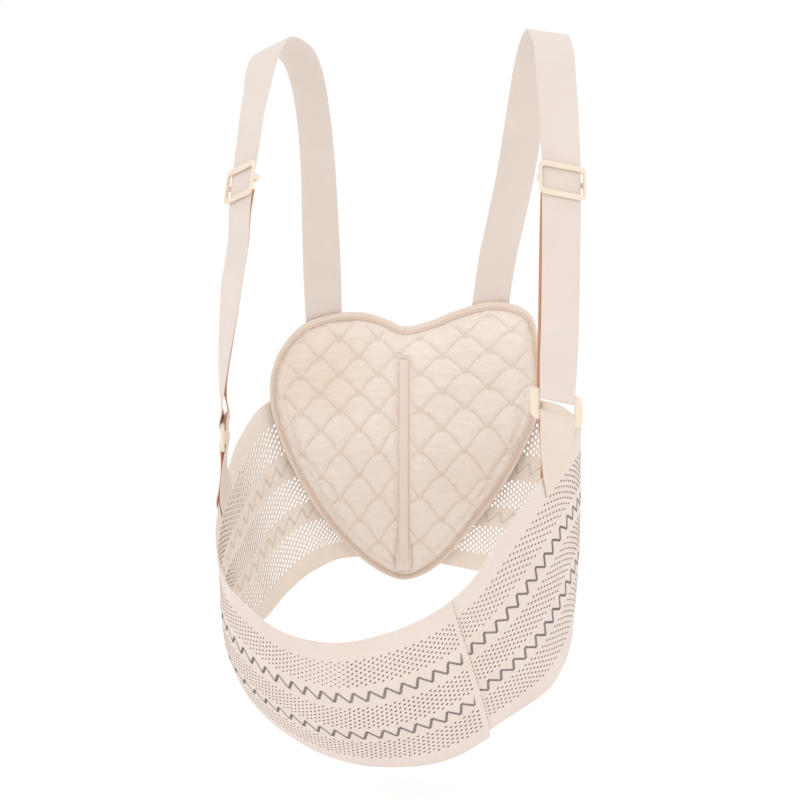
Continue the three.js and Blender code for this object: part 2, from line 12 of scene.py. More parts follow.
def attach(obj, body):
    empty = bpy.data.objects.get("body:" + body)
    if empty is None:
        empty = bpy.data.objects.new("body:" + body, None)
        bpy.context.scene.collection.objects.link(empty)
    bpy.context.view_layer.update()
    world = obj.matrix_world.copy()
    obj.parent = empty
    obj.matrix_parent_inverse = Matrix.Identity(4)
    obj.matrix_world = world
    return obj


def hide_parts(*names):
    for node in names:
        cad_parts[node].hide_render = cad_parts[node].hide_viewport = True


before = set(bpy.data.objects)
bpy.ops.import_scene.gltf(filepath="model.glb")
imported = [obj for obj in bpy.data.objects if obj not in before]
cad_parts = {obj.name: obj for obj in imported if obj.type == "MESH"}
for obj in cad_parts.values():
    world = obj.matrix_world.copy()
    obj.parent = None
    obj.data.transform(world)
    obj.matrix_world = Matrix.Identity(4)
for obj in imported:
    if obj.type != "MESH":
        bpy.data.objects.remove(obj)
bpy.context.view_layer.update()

# The stage: a plain pale floor well below the belt, a white surround and soft studio lamps.
# The camera stands two metres in front of the belt and looks ten degrees down on it.
scene = bpy.context.scene
look_down = math.radians(10)
aim = Vector((-0.004, 0, -0.352))
camera_data = bpy.data.cameras.new("camera")
camera_data.lens = 88.2
camera_data.sensor_width = 36
camera = bpy.data.objects.new("camera", camera_data)
camera.location = aim + 2.0 * Vector((0, -math.cos(look_down), math.sin(look_down)))
camera.rotation_euler = (math.pi / 2 - look_down, 0, 0)
scene.collection.objects.link(camera)
scene.camera = camera

bpy.ops.object.select_all(action="DESELECT")
bpy.ops.mesh.primitive_plane_add(size=14, location=(0, 0, -0.79))
floor = bpy.context.active_object
floor.name = "floor"
floor_paint = bpy.data.materials.new("floor_paint")
floor_paint.use_nodes = True
floor_shader = floor_paint.node_tree.nodes["Principled BSDF"]
floor_shader.inputs["Base Color"].default_value = (0.9, 0.9, 0.9, 1)
floor_shader.inputs["Roughness"].default_value = 0.9
floor_shader.inputs["Emission Color"].default_value = (1, 1, 1, 1)
floor_shader.inputs["Emission Strength"].default_value = 0.14
floor.data.materials.append(floor_paint)

surround = bpy.data.worlds.new("surround")
surround.use_nodes = True
surround.node_tree.nodes["Background"].inputs["Color"].default_value = (1, 1, 1, 1)
surround.node_tree.nodes["Background"].inputs["Strength"].default_value = 1.0
scene.world = surround
scene.view_settings.view_transform = "Standard"


def soft_lamp(name, place, aim_at, size, power):
    lamp_data = bpy.data.lights.new(name, "AREA")
    lamp_data.shape = "DISK"
    lamp_data.size = size
    lamp_data.energy = power
    lamp = bpy.data.objects.new(name, lamp_data)
    lamp.location = place
    lamp.rotation_euler = (Vector(aim_at) - Vector(place)).to_track_quat("-Z", "Y").to_euler()
    scene.collection.objects.link(lamp)


soft_lamp("lamp_front", (-0.9, -2.2, 0.9), (0, 0, -0.4), 1.4, 9)
soft_lamp("lamp_right", (1.9, -1.2, 0.3), (0, 0, -0.4), 1.2, 3)
soft_lamp("lamp_top", (0.1, 0.3, 1.8), (0, 0, -0.4), 1.2, 4)

# The two wings of the belly band: stretch knit with three open mesh bands between plain ones.
# Each is one sheet, fixed behind the pad, led round the hips and lapped over the other at the front.
MM = 0.001
hip_half, hip_depth, waist_drop, loop_fall, belt_width = 190, 150, 372, 192, 185
lap_reach, hem_tuck, top_tuck, inner_layer = 2.3, 0.035, 0.012, -2.5
seam_gap, lap_end_top, lap_end_low, lap_shows = 0.004, 12.5, 12.62, (13.2, 15)

# side, fore, fall, out, back, down and swell of each section, from the centre back past the viewer's left
band_rows = np.array([
    (0.0, -0.87, 0.0, 0.0, 0.07, 0.98, 0.0), (-0.37, -0.81, -0.01, 0.04, 0.09, 0.99, 0.0),
    (-0.76, -0.59, -0.01, 0.25, 0.2, 1.05, 0.01), (-0.91, -0.41, 0.16, 0.24, 0.29, 1.0, 0.02),
    (-0.97, -0.25, 0.32, 0.2, 0.32, 0.94, 0.02), (-1.01, -0.08, 0.48, 0.13, 0.34, 0.85, 0.02),
    (-1.01, 0.17, 0.63, 0.07, 0.41, 0.77, 0.02), (-0.94, 0.5, 0.78, 0.02, 0.52, 0.7, 0.045),
    (-0.82, 0.7, 0.87, 0.0, 0.55, 0.74, 0.06), (-0.62, 0.88, 0.97, 0.0, 0.54, 0.76, 0.06),
    (-0.36, 0.99, 1.0, 0.0, 0.48, 0.81, 0.07), (-0.12, 1.03, 0.95, 0.03, 0.44, 0.88, 0.07),
    (0.13, 1.01, 0.85, 0.11, 0.42, 0.94, 0.06), (0.33, 0.96, 0.7, 0.26, 0.47, 0.91, 0.05),
    (0.5, 0.88, 0.47, 0.3, 0.48, 1.01, 0.04), (0.65, 0.77, 0.29, 0.245, 0.5, 1.05, 0.03),
    (0.78, 0.63, 0.14, 0.15, 0.48, 1.12, 0.02), (0.88, 0.44, 0.06, 0.07, 0.45, 1.15, 0.02),
    (0.95, 0.19, 0.01, 0.01, 0.4, 1.16, 0.02), (0.96, -0.07, 0.02, -0.03, 0.34, 1.12, 0.02),
    (0.94, -0.28, 0.01, -0.07, 0.29, 1.12, 0.01), (0.83, -0.53, -0.02, -0.12, 0.2, 1.1, 0.01),
    (0.38, -0.81, -0.01, 0.0, 0.1, 1.06, 0.0),
])
loop_rows = len(band_rows)


def smooth_course(points, closed):
    points = np.asarray(points, float)
    count = len(points)
    ends = np.vstack([2 * points[:1] - points[1:2], points, 2 * points[-1:] - points[-2:-1]])

    def at(rows):
        rows = np.mod(rows, count) if closed else np.clip(rows, 0, count - 1)
        first = np.minimum(np.floor(rows).astype(int), count - (1 if closed else 2))
        rest = (rows - first)[..., None]
        if closed:
            p0, p1, p2, p3 = (points[(first + k) % count] for k in (-1, 0, 1, 2))
        else:
            p0, p1, p2, p3 = (ends[first + 1 + k] for k in (-1, 0, 1, 2))
        gap0, gap1, gap2 = (
            np.sqrt(np.linalg.norm(b - a, axis=-1, keepdims=True)) for a, b in ((p0, p1), (p1, p2), (p2, p3))
        )
        gap1 = np.where(gap1 < 1e-4, 1, gap1)
        gap0 = np.where(gap0 < 1e-4, gap1, gap0)
        gap2 = np.where(gap2 < 1e-4, gap1, gap2)
        start = ((p1 - p0) / gap0 - (p2 - p0) / (gap0 + gap1) + (p2 - p1) / gap1) * gap1
        stop = ((p2 - p1) / gap1 - (p3 - p1) / (gap1 + gap2) + (p3 - p2) / gap2) * gap1
        square = 3 * (p2 - p1) - 2 * start - stop
        cube = 2 * (p1 - p2) + start + stop
        return p1 + start * rest + square * rest**2 + cube * rest**3

    return at


def unit(vectors):
    return vectors / np.maximum(np.linalg.norm(vectors, axis=-1, keepdims=True), 1e-12)


band_edge = smooth_course(
    np.stack([
        band_rows[:, 0] * hip_half, -band_rows[:, 1] * hip_depth, -waist_drop - band_rows[:, 2] * loop_fall
    ], 1), True)
band_cross = smooth_course(band_rows[:, 3:6] * (belt_width, belt_width, -belt_width), True)
band_swell = smooth_course(band_rows[:, 6:7] * (belt_width, 0, 0), True)


def band_middle(row, share):
    cross = band_cross(row)
    away = unit(np.cross(band_edge(row + 0.2) - band_edge(row - 0.2), cross))
    bow = band_swell(row)[..., :1] * np.sin(math.pi * np.clip(share, 0, 1) ** 1.35)[..., None]
    return band_edge(row) + cross * share[..., None] - away * bow


def band_point(row, share, offset):
    row, share, offset = np.broadcast_arrays(*(np.asarray(v, float) for v in (row, share, offset)))
    along = band_middle(row + 0.15, share) - band_middle(row - 0.15, share)
    across = band_middle(row, share + 0.02) - band_middle(row, share - 0.02)
    return band_middle(row, share) + unit(np.cross(across, along)) * offset[..., None]


def lap_end(share):
    return lap_end_top + (lap_end_low - lap_end_top) * share


def smooth_step(low, high, value):
    t = np.clip((value - low) / (high - low), 0, 1)
    return t * t * (3 - 2 * t)


def left_row(t, share):
    return seam_gap + (lap_end(share) - seam_gap) * t


def right_row(t, share):
    return loop_rows - seam_gap + (lap_end(share) - lap_reach - loop_rows + seam_gap) * t


def full_width(t, share):
    return share


# The inner lap is a little narrower at both edges, so that it stays hidden behind the outer one
def tucked_width(t, share):
    under_lap = 1 - smooth_step(*lap_shows, right_row(t, 0.5))
    return share + under_lap * (top_tuck - (hem_tuck + top_tuck) * share)


# Shares of the width at which the knit changes: borders, mesh, plain bands with a zigzag, and so on
band_levels = (
    (0.0, 0.12, 4, False), (0.12, 0.32, 12, True), (0.32, 0.45, 4, False), (0.45, 0.625, 12, True),
    (0.625, 0.725, 3, False), (0.725, 0.905, 12, True), (0.905, 1.0, 4, False),
)
front_pitch, back_pitch = 4.6, 3.5
front_wall, back_wall = 1.7, 0.7
hole_long, hole_short, hole_sides = 1.75, 0.85, 10
hem_lift, rim_round = 0.45, 0.5

# How far the holes lean, in radians, at sections of the loop
lean_rows = (0, 5, 7.5, 9, 10, 12.5, 15, 18, 23)
leans = (0.15, 1.0, 1.3, 1.0, 0.8, 0.35, -0.15, -0.2, 0.15)


def frontness(row):
    return smooth_step(5.5, 8, row) * (1 - smooth_step(16, 18.5, row))


def knit_wall(row):
    return back_wall + (front_wall - back_wall) * frontness(row)


def hole_pitch(row):
    return back_pitch + (front_pitch - back_pitch) * frontness(row)


# Near the lap the knit's stripes run a little higher than elsewhere
def drifted(row, share):
    near_lap = smooth_step(10, 12.5, row) * (1 - smooth_step(17, 19, row))
    return share - 0.04 * np.sin(math.pi * share) * near_lap


def run_lengths(places):
    return np.concatenate([[0], np.cumsum(np.linalg.norm(np.diff(places, axis=0), axis=1))])


def line_length(row_at, share):
    dense = np.linspace(0, 1, 801)
    row = row_at(dense, share)
    return dense, run_lengths(band_point(row, np.full_like(dense, share), 0)), row


def piece_from(name, points, faces, uv=None, slots=None):
    mesh = bpy.data.meshes.new(name)
    mesh.from_pydata(np.asarray(points).tolist(), [], [[int(corner) for corner in face] for face in faces])
    if slots is not None:
        mesh.polygons.foreach_set("material_index", slots)
    if uv is not None:
        corners = np.empty(len(mesh.loops), int)
        mesh.loops.foreach_get("vertex_index", corners)
        layer = mesh.uv_layers.new(name="cloth")
        layer.data.foreach_set("uv", np.asarray(uv, float)[corners].ravel())
    mesh.validate()
    mesh.update()
    piece = bpy.data.objects.new(name, mesh)
    scene.collection.objects.link(piece)
    return piece


def grid_faces(rows, columns, rows_meet, columns_meet):
    at = np.arange(rows * columns).reshape(rows, columns)
    return [
        [at[i, j], at[(i + 1) % rows, j], at[(i + 1) % rows, (j + 1) % columns], at[i, (j + 1) % columns]]
        for i in range(rows - 1 + rows_meet) for j in range(columns - 1 + columns_meet)
    ]


def only(piece):
    bpy.ops.object.select_all(action="DESELECT")
    piece.select_set(True)
    bpy.context.view_layer.objects.active = piece


def settle(piece, merge=1e-6):
    only(piece)
    bpy.ops.object.mode_set(mode="EDIT")
    bpy.ops.mesh.select_all(action="SELECT")
    bpy.ops.mesh.remove_doubles(threshold=merge)
    bpy.ops.mesh.normals_make_consistent(inside=False)
    bpy.ops.object.mode_set(mode="OBJECT")
    bpy.ops.object.shade_smooth_by_angle(angle=math.radians(55))


def knit_wing(name, row_at, width_at, offset):
    dense, length, dense_row = line_length(row_at, 0.5)
    counted = np.concatenate([[0], np.cumsum(np.diff(length) / hole_pitch(dense_row)[1:])])
    columns = int(round(counted[-1]))
    line_t = np.interp(np.linspace(0, counted[-1], columns + 1), counted, dense)
    levels = [0.0]
    cells = []
    for low, high, parts, is_mesh in band_levels:
        first = len(levels) - 1
        levels += list(low + (high - low) * np.arange(1, parts + 1) / parts)
        cells.append((first, parts, is_mesh))
    levels = np.array(levels)
    depth = len(levels)

    def place(index, share, side):
        t = np.interp(index, np.arange(columns + 1), line_t)
        row = row_at(t, share)
        hem = hem_lift * smooth_step(columns - 1.9, columns - 1.5, index)
        lift = side * knit_wall(row) / 2 + hem * (side > 0)
        return band_point(row, width_at(t, drifted(row, share)), offset + lift)

    index, share = np.meshgrid(np.arange(columns + 1.0), levels, indexing="ij")
    outer = place(index, share, 1)
    inner = place(index, share, -1)
    outer_at = np.arange((columns + 1) * depth).reshape(columns + 1, depth)
    inner_at = outer_at + outer_at.size
    faces, slots, holes = [], [], []

    # Closed cloth stands at both ends, in the plain bands and where a column of holes begins half a hole late
    def closed(i, k):
        corners = [(i, k), (i + 1, k), (i + 1, k + 1), (i, k + 1)]
        faces.append([outer_at[c] for c in corners])
        faces.append([inner_at[c] for c in reversed(corners)])
        slots.extend((0, 1))

    for i in range(columns):
        for first, parts, is_mesh in cells:
            k, last = first, first + parts
            if is_mesh and 1 <= i < columns - 1:
                if i % 2:
                    closed(i, k)
                    k += 1
                while k + 2 <= last:
                    holes.append((i, k))
                    k += 2
            while k < last:
                closed(i, k)
                k += 1

    holes = np.array(holes)
    turn = np.arange(hole_sides) * 2 * math.pi / hole_sides
    centre_t = np.interp(holes[:, 0] + 0.5, np.arange(columns + 1), line_t)
    centre_share = levels[holes[:, 1] + 1]
    centre_row = row_at(centre_t, centre_share)[:, None]
    half_long = hole_long * (0.72 + 0.2 * frontness(centre_row))
    half_short = hole_short * (2.2 - 1.28 * frontness(centre_row))
    forward = 1 if row_at(1, 0.5) > row_at(0, 0.5) else -1
    lean = turn[None, :] + np.interp(centre_row, lean_rows, leans) * forward
    reach = half_long * half_short / np.hypot(half_short * np.cos(lean), half_long * np.sin(lean))
    ring_index = holes[:, :1] + 0.5 + reach * np.cos(turn) / hole_pitch(centre_row)
    ring_share = centre_share[:, None] + reach * np.sin(turn) / belt_width
    ring_outer = place(ring_index, ring_share, 1)
    ring_inner = place(ring_index, ring_share, -1)
    ring_outer_at = 2 * outer_at.size + np.arange(ring_index.size).reshape(ring_index.shape)
    ring_inner_at = ring_outer_at + ring_index.size
    corner_steps = ((1, 1), (1, 2), (0, 2), (0, 1), (0, 0), (1, 0))
    corner_turns = np.radians((0, 51, 129, 180, 231, 309))
    middle_turns = turn + math.pi / hole_sides
    apart = np.abs((middle_turns[:, None] - corner_turns[None, :] + math.pi) % (2 * math.pi) - math.pi)
    nearest = apart.argmin(1)
    for h, (i, k) in enumerate(holes):
        corners = [(i + a, k + b) for a, b in corner_steps]
        for r in range(hole_sides):
            s = (r + 1) % hole_sides
            here, after = corners[nearest[r]], corners[nearest[s]]
            faces.append([ring_outer_at[h, s], ring_outer_at[h, r], outer_at[here]])
            faces.append([ring_inner_at[h, r], ring_inner_at[h, s], inner_at[here]])
            slots.extend((0, 1))
            if here != after:
                faces.append([ring_outer_at[h, s], outer_at[here], outer_at[after]])
                faces.append([ring_inner_at[h, s], inner_at[after], inner_at[here]])
                slots.extend((0, 1))
            # The walls of each hole take the third slot, which is painted dark for the shade inside the hole
            faces.append([ring_outer_at[h, r], ring_outer_at[h, s], ring_inner_at[h, s], ring_inner_at[h, r]])
            slots.append(2)

    border = [(i, 0) for i in range(columns + 1)] + [(columns, k) for k in range(1, depth)]
    border += [(i, depth - 1) for i in range(columns - 1, -1, -1)] + [(0, k) for k in range(depth - 2, 0, -1)]
    border = np.array(border)
    inward = np.clip(border, 1, (columns - 1, depth - 2))
    rim_out = outer[border[:, 0], border[:, 1]]
    rim_in = inner[border[:, 0], border[:, 1]]
    away = unit(rim_out - outer[inward[:, 0], inward[:, 1]])
    rim = (rim_out + rim_in) / 2 + away * rim_round
    rim_at = 2 * outer_at.size + 2 * ring_index.size + np.arange(len(border))
    for b in range(len(border)):
        c = (b + 1) % len(border)
        out_b, out_c = outer_at[tuple(border[b])], outer_at[tuple(border[c])]
        in_b, in_c = inner_at[tuple(border[b])], inner_at[tuple(border[c])]
        faces.append([out_c, out_b, rim_at[b], rim_at[c]])
        faces.append([rim_at[c], rim_at[b], in_b, in_c])
        slots.extend((0, 1))

    in_order = (outer, inner, ring_outer, ring_inner, rim)
    points = np.concatenate([part.reshape(-1, 3) for part in in_order]) * MM
    scale = (length[-1] / columns * MM, belt_width * MM)
    flat = (np.stack([index, share], -1) * scale).reshape(-1, 2)
    flat_ring = (np.stack([ring_index, ring_share], -1) * scale).reshape(-1, 2)
    flat_rim = np.stack([border[:, 0], levels[border[:, 1]]], -1) * scale
    uv = np.concatenate([flat, flat, flat_ring, flat_ring, flat_rim])
    piece = piece_from(name, points, faces, uv, slots)
    settle(piece)
    return piece, length[-1]


wing_left, left_length = knit_wing("knit_wing_left", left_row, full_width, 0.0)
wing_right, right_length = knit_wing("knit_wing_right", right_row, tucked_width, inner_layer)


# Each value is either set on the node's socket or, if it is another socket, linked to it
def feed(node, values):
    for socket, value in values.items():
        if isinstance(value, bpy.types.NodeSocket):
            node.id_data.links.new(value, node.inputs[socket])
        else:
            node.inputs[socket].default_value = value
    return node


def node_in(tree, kind, values=None, **settings):
    made = tree.nodes.new(kind)
    for key, value in settings.items():
        setattr(made, key, value)
    return feed(made, values or {})


def joined_math(tree, operation, *values):
    return node_in(tree, "ShaderNodeMath", dict(enumerate(values)), operation=operation).outputs[0]


def colour_mix(tree, amount, first, second):
    return node_in(tree, "ShaderNodeMix", {0: amount, 6: first, 7: second}, data_type="RGBA").outputs[2]


def object_place(tree):
    return node_in(tree, "ShaderNodeTexCoord").outputs["Object"]


def noise_in(tree, place, scale, detail):
    values = {"Vector": place, "Scale": scale, "Detail": detail}
    return node_in(tree, "ShaderNodeTexNoise", values).outputs["Fac"]


# Woven or knitted thread: ribs along and across the cloth, broken up a little by noise
weave = bpy.data.node_groups.new("thread_weave", "ShaderNodeTree")
for socket_name, socket_kind in (("Cloth", "NodeSocketVector"), ("Along Pitch", "NodeSocketFloat"),
                                 ("Across Pitch", "NodeSocketFloat"), ("Loose", "NodeSocketFloat")):
    weave.interface.new_socket(socket_name, in_out="INPUT", socket_type=socket_kind)
for socket_name in ("Height", "Shade"):
    weave.interface.new_socket(socket_name, in_out="OUTPUT", socket_type="NodeSocketFloat")
weave_in = node_in(weave, "NodeGroupInput")
weave_split = node_in(weave, "ShaderNodeSeparateXYZ", {0: weave_in.outputs["Cloth"]})
loose_noise = noise_in(weave, weave_in.outputs["Cloth"], 900, 2)
loose_swing = joined_math(weave, "SUBTRACT", loose_noise, 0.5)
loose = joined_math(weave, "MULTIPLY", loose_swing, weave_in.outputs["Loose"])


def thread_wave(coordinate, pitch):
    turns = joined_math(weave, "ADD", joined_math(weave, "DIVIDE", coordinate, pitch), loose)
    wave = joined_math(weave, "SINE", joined_math(weave, "MULTIPLY", turns, 2 * math.pi))
    return joined_math(weave, "MULTIPLY_ADD", wave, 0.5, 0.5)


along_wave = thread_wave(weave_split.outputs["X"], weave_in.outputs["Along Pitch"])
across_wave = thread_wave(weave_split.outputs["Y"], weave_in.outputs["Across Pitch"])
weave_height = joined_math(weave, "ADD", joined_math(weave, "MULTIPLY", along_wave, 0.5),
                           joined_math(weave, "MULTIPLY", across_wave, 0.5))
half_height = joined_math(weave, "MULTIPLY", weave_height, 0.5)
weave_shade = joined_math(weave, "MULTIPLY_ADD", loose_noise, 0.5, half_height)
node_in(weave, "NodeGroupOutput", {"Height": weave_height, "Shade": weave_shade})


def cloth_material(name, light, deep, along_pitch, across_pitch, bump,
                   loose_by=0.3, from_object=False, glow=0.0):
    made = bpy.data.materials.new(name)
    made.use_nodes = True
    tree = made.node_tree
    place = object_place(tree)
    if from_object:
        turned = node_in(tree, "ShaderNodeMapping", {"Vector": place, "Rotation": (math.pi / 2, 0, 0)})
        cloth_place = turned.outputs["Vector"]
    else:
        cloth_place = node_in(tree, "ShaderNodeUVMap", uv_map="cloth").outputs["UV"]
    threads = node_in(tree, "ShaderNodeGroup", {
        "Cloth": cloth_place, "Along Pitch": along_pitch, "Across Pitch": across_pitch, "Loose": loose_by,
    }, node_tree=weave)
    thread_share = joined_math(tree, "MULTIPLY_ADD", threads.outputs["Shade"], 0.6, -0.15)
    amount = joined_math(tree, "MULTIPLY_ADD", noise_in(tree, place, 22, 3), 0.8, thread_share)
    relief = node_in(tree, "ShaderNodeBump", {
        "Height": threads.outputs["Height"], "Strength": 1.0, "Distance": bump,
    })
    feed(tree.nodes["Principled BSDF"], {
        "Base Color": colour_mix(tree, amount, (*deep, 1), (*light, 1)), "Normal": relief.outputs["Normal"],
        "Roughness": 0.9, "Sheen Weight": 0.25, "Sheen Roughness": 0.6, "Specular IOR Level": 0.25,
        "Emission Color": (*deep, 1), "Emission Strength": glow,
    })
    return made


def thread_material(name, light, deep, bump=0.00004):
    return cloth_material(name, light, deep, 0.0004, 0.0004, bump, from_object=True)


knit_outside = cloth_material("knit_outside", (0.79, 0.685, 0.625), (0.69, 0.575, 0.515),
                              0.0011, 0.0012, 0.00014)
knit_inside = cloth_material("knit_inside", (0.9, 0.82, 0.74), (0.81, 0.69, 0.6), 0.0024, 0.0011, 0.00018)
# Painted shade: the hole walls are a dark brown for the shade inside the holes and the shaded cloth behind
# them
hole_wall_shade = cloth_material("hole_wall_shade", (0.28, 0.14, 0.09), (0.14, 0.07, 0.05), 0.0008, 0.0008, 0.0001)
for piece, node in ((wing_left, "wing_left"), (wing_right, "wing_right")):
    for material in (knit_outside, knit_inside, hole_wall_shade):
        piece.data.materials.append(material)
    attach(piece, "root")
    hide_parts(node)

# The zigzags: two rows of grey cover stitches along each wing, on its plain bands.
# Each is a long thin stroke of single stitches, then a short thick one three stitches wide.
line_shares, zigzag_heights = (0.385, 0.675), (12.5, 11.875)
zigzag_period, zigzag_end, long_share = 16.5, 6, 0.82
single_stitch, triple_stitch = (2.1, 0.85), (0.95, 0.9)
stitch_pitch, lane_pitch = 1.25, 1.05


# A stitch is a low box with a slightly smaller top, sunk a little into the cloth
def stitch_boxes(name, high, place, centres, directions, sizes):
    side = np.stack([-directions[:, 1], directions[:, 0]], 1)
    corners = []
    for grow, height in ((1.0, -0.1), (0.9, high)):
        for a, b in ((-1, -1), (1, -1), (1, 1), (-1, 1)):
            flat = centres + grow * (directions * a * sizes[:, :1] / 2 + side * b * sizes[:, 1:] / 2)
            corners.append(place(flat[:, 0], flat[:, 1], height))
    points = np.stack(corners, 1).reshape(-1, 3) * MM
    base = np.arange(len(centres))[:, None, None] * 8
    box = np.array([(3, 2, 1, 0), (4, 5, 6, 7), (0, 1, 5, 4), (1, 2, 6, 5), (2, 3, 7, 6), (3, 0, 4, 7)])
    piece = piece_from(name, points, (base + box[None]).reshape(-1, 4))
    settle(piece)
    return piece


def zigzag(name, row_at, width_at, offset, face, high):
    centres, directions, sizes, lines = [], [], [], []
    forward = 1 if row_at(1, 0.5) > row_at(0, 0.5) else -1
    courses = {line_share: line_length(row_at, line_share)[:2] for line_share in line_shares}
    for line_share, height in zip(line_shares, zigzag_heights):
        length = courses[line_share][1]
        for period in range(int((length[-1] - zigzag_end) / zigzag_period)):
            start = length[-1] - zigzag_end - (period + (forward > 0)) * zigzag_period
            long_run = np.array((forward * long_share * zigzag_period, height))
            short_run = np.array((forward * (1 - long_share) * zigzag_period, -height))
            origin = np.array((start, -height / 2))
            for run, begin, lanes in ((long_run, origin, 1), (short_run, origin + long_run, 3)):
                run_length = np.linalg.norm(run)
                direction = run / run_length
                side = np.array((-direction[1], direction[0]))
                count = int(run_length / stitch_pitch)
                for step in range(count):
                    for lane in range(lanes):
                        shift = (lane - (lanes - 1) / 2) * lane_pitch
                        centres.append(begin + direction * (step + 0.5) * run_length / count + side * shift)
                        directions.append(side if lanes == 1 else direction)
                        sizes.append(single_stitch if lanes == 1 else triple_stitch)
                        lines.append(line_share)
    centres, directions, sizes, lines = (np.array(values) for values in (centres, directions, sizes, lines))

    def place(s, t, height):
        where = np.empty((len(s), 3))
        for line_share, (dense, length) in courses.items():
            chosen = lines == line_share
            along = np.interp(s[chosen], length, dense)
            share = line_share + t[chosen] / belt_width
            row = row_at(along, share)
            from_middle = offset + face * (knit_wall(row) / 2 + height)
            where[chosen] = band_point(row, width_at(along, drifted(row, share)), from_middle)
        return where

    return stitch_boxes(name, high, place, centres, directions, sizes)


stitch_grey = thread_material("stitch_grey", (0.2, 0.175, 0.165), (0.1, 0.085, 0.08), 0.00005)
stitch_faint = thread_material("stitch_faint", (0.66, 0.57, 0.51), (0.56, 0.47, 0.42), 0.00005)
for wing, side_name, row_at, width_at, offset, length in (
    (wing_left, "left", left_row, full_width, 0.0, left_length),
    (wing_right, "right", right_row, tucked_width, inner_layer, right_length),
):
    for row_name, face, high, material in (
        ("zigzag_", 1, 0.25, stitch_grey), ("zigzag_under_", -1, 0.06, stitch_faint),
    ):
        piece = zigzag(row_name + side_name, row_at, width_at, offset, face, high)
        piece.data.materials.append(material)
        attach(piece, "root")

# The back pad: a soft heart of cotton over wadding, fixed on the wings behind the wearer's back.
# It is filled by a cloth simulation, then quilted in staggered clamshells with fine dotted stitches.
pad_half, pad_height, pad_drop = 147, 312, 268
pad_back, pad_sag, pad_lean, pad_wall = 127, 44, 0.06, 11
binding_wide, binding_narrow, binding_wall = 9, 6.5, 8
channel_half, channel_top, channel_low = 6.3, pad_drop + 0.19 * pad_height, pad_drop + 0.95 * pad_height
heart_rows = np.array([
    (0.0, 0.078, 1), (-0.1, 0.058, 1), (-0.27, 0.03, 1), (-0.43, 0.026, 1), (-0.6, 0.039, 1),
    (-0.73, 0.062, 0.9), (-0.84, 0.11, 0.6), (-0.92, 0.17, 0.3), (-0.965, 0.25, 0), (-0.96, 0.34, 0),
    (-0.9, 0.46, 0), (-0.77, 0.61, 0), (-0.57, 0.775, 0), (-0.33, 0.905, 0), (-0.14, 0.972, 0),
    (0.0, 0.993, 0), (0.14, 0.975, 0), (0.3, 0.918, 0), (0.52, 0.785, 0), (0.74, 0.628, 0),
    (0.89, 0.48, 0), (0.965, 0.38, 0), (0.99, 0.28, 0), (0.985, 0.18, 0), (0.96, 0.085, 0.3),
    (0.92, 0.026, 0.6), (0.84, -0.002, 0.9), (0.73, -0.014, 1), (0.6, -0.012, 1), (0.37, 0.022, 1),
    (0.19, 0.058, 1),
])
heart_course = smooth_course(np.stack([
    heart_rows[:, 0] * pad_half, heart_rows[:, 2], -pad_drop - heart_rows[:, 1] * pad_height
], 1), True)


def heart_at(row):
    found = heart_course(row)
    ahead = heart_course(row + 0.646) - heart_course(row - 0.646)
    outwards = unit(np.stack([ahead[..., 2], -ahead[..., 0]], -1))
    width = binding_narrow + (binding_wide - binding_narrow) * found[..., 1]
    return found[..., [0, 2]], outwards, width


def pad_back_at(x, z):
    return pad_back - pad_sag * (x / pad_half) ** 2 - pad_lean * (z + waist_drop)


def mesh_points(piece, kind="co"):
    found = np.empty(len(piece.data.vertices) * 3)
    piece.data.vertices.foreach_get(kind, found)
    return found.reshape(-1, 3)


def tree_of(points):
    tree = KDTree(len(points))
    for number, (x, z) in enumerate(points):
        tree.insert((x, 0, z), number)
    tree.balance()
    return tree


pad =bpy.data.objects.new("quilted_pad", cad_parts["back_pad"].data.copy())
pad.data.materials.clear()
scene.collection.objects.link(pad)
settle(pad, 1e-5)
remesh = pad.modifiers.new("even_mesh", "REMESH")
remesh.mode = "VOXEL"
remesh.voxel_size = 0.0037
bpy.ops.object.modifier_apply(modifier="even_mesh")
unfilled = mesh_points(pad)
filling = pad.modifiers.new("filling", "CLOTH")
filling.settings.use_pressure = True
filling.settings.uniform_pressure_force = 4
filling.settings.effector_weights.gravity = 0
for number in range(1, 21):
    scene.frame_set(number)
only(pad)
bpy.ops.object.modifier_apply(modifier="filling")
scene.frame_set(1)
filled = mesh_points(pad)
move = filled - unfilled
far = np.linalg.norm(move, axis=1, keepdims=True)
to_front = np.clip(-move[:, 1:2] / np.maximum(far, 1e-9), 0, 1)
held_down = 1 - smooth_step(7, 16, np.abs(unfilled[:, :1]) / MM)
held_down *= 1 - smooth_step(-channel_top, -channel_top + 10, unfilled[:, 2:] / MM)
move *= np.minimum(1, (0.0004 + 0.0026 * to_front) / np.maximum(far, 1e-9)) * (1 - held_down)
pad.data.vertices.foreach_set("co", (unfilled + move).ravel())
only(pad)
finer = pad.modifiers.new("finer", "SUBSURF")
finer.levels = finer.render_levels = 1
bpy.ops.object.modifier_apply(modifier="finer")

rim_points, rim_out, rim_width = heart_at(np.linspace(0, len(heart_rows), 700, endpoint=False))
rim_tree = tree_of(rim_points)


def rim_gap(x, z):
    near, number, _ = rim_tree.find((x, 0, z))
    inward = -np.dot((x - near[0], z - near[2]), rim_out[number])
    return inward - rim_width[number], rim_out[number]


# The pad's edge is tucked into the fold of the binding
pad_points = mesh_points(pad) / MM
for point in pad_points:
    gap, outwards = rim_gap(point[0], point[2])
    tuck = 4.0 * (1 - smooth_step(0, 14, gap))
    point[[0, 2]] += outwards * tuck
pad.data.vertices.foreach_set("co", (pad_points * MM).ravel())
pad.data.update()

# Knots of the quilting: columns 20 to 25 mm apart, rows that lie closer together at the top
knot_rows = np.array((
    -248, -268, -287, -306, -325.6, -345, -365, -385, -405.5, -431, -457, -482, -507.5, -533, -558,
))
middle_column, left_pitch, right_pitch = -7.0, 20.6, 24.3


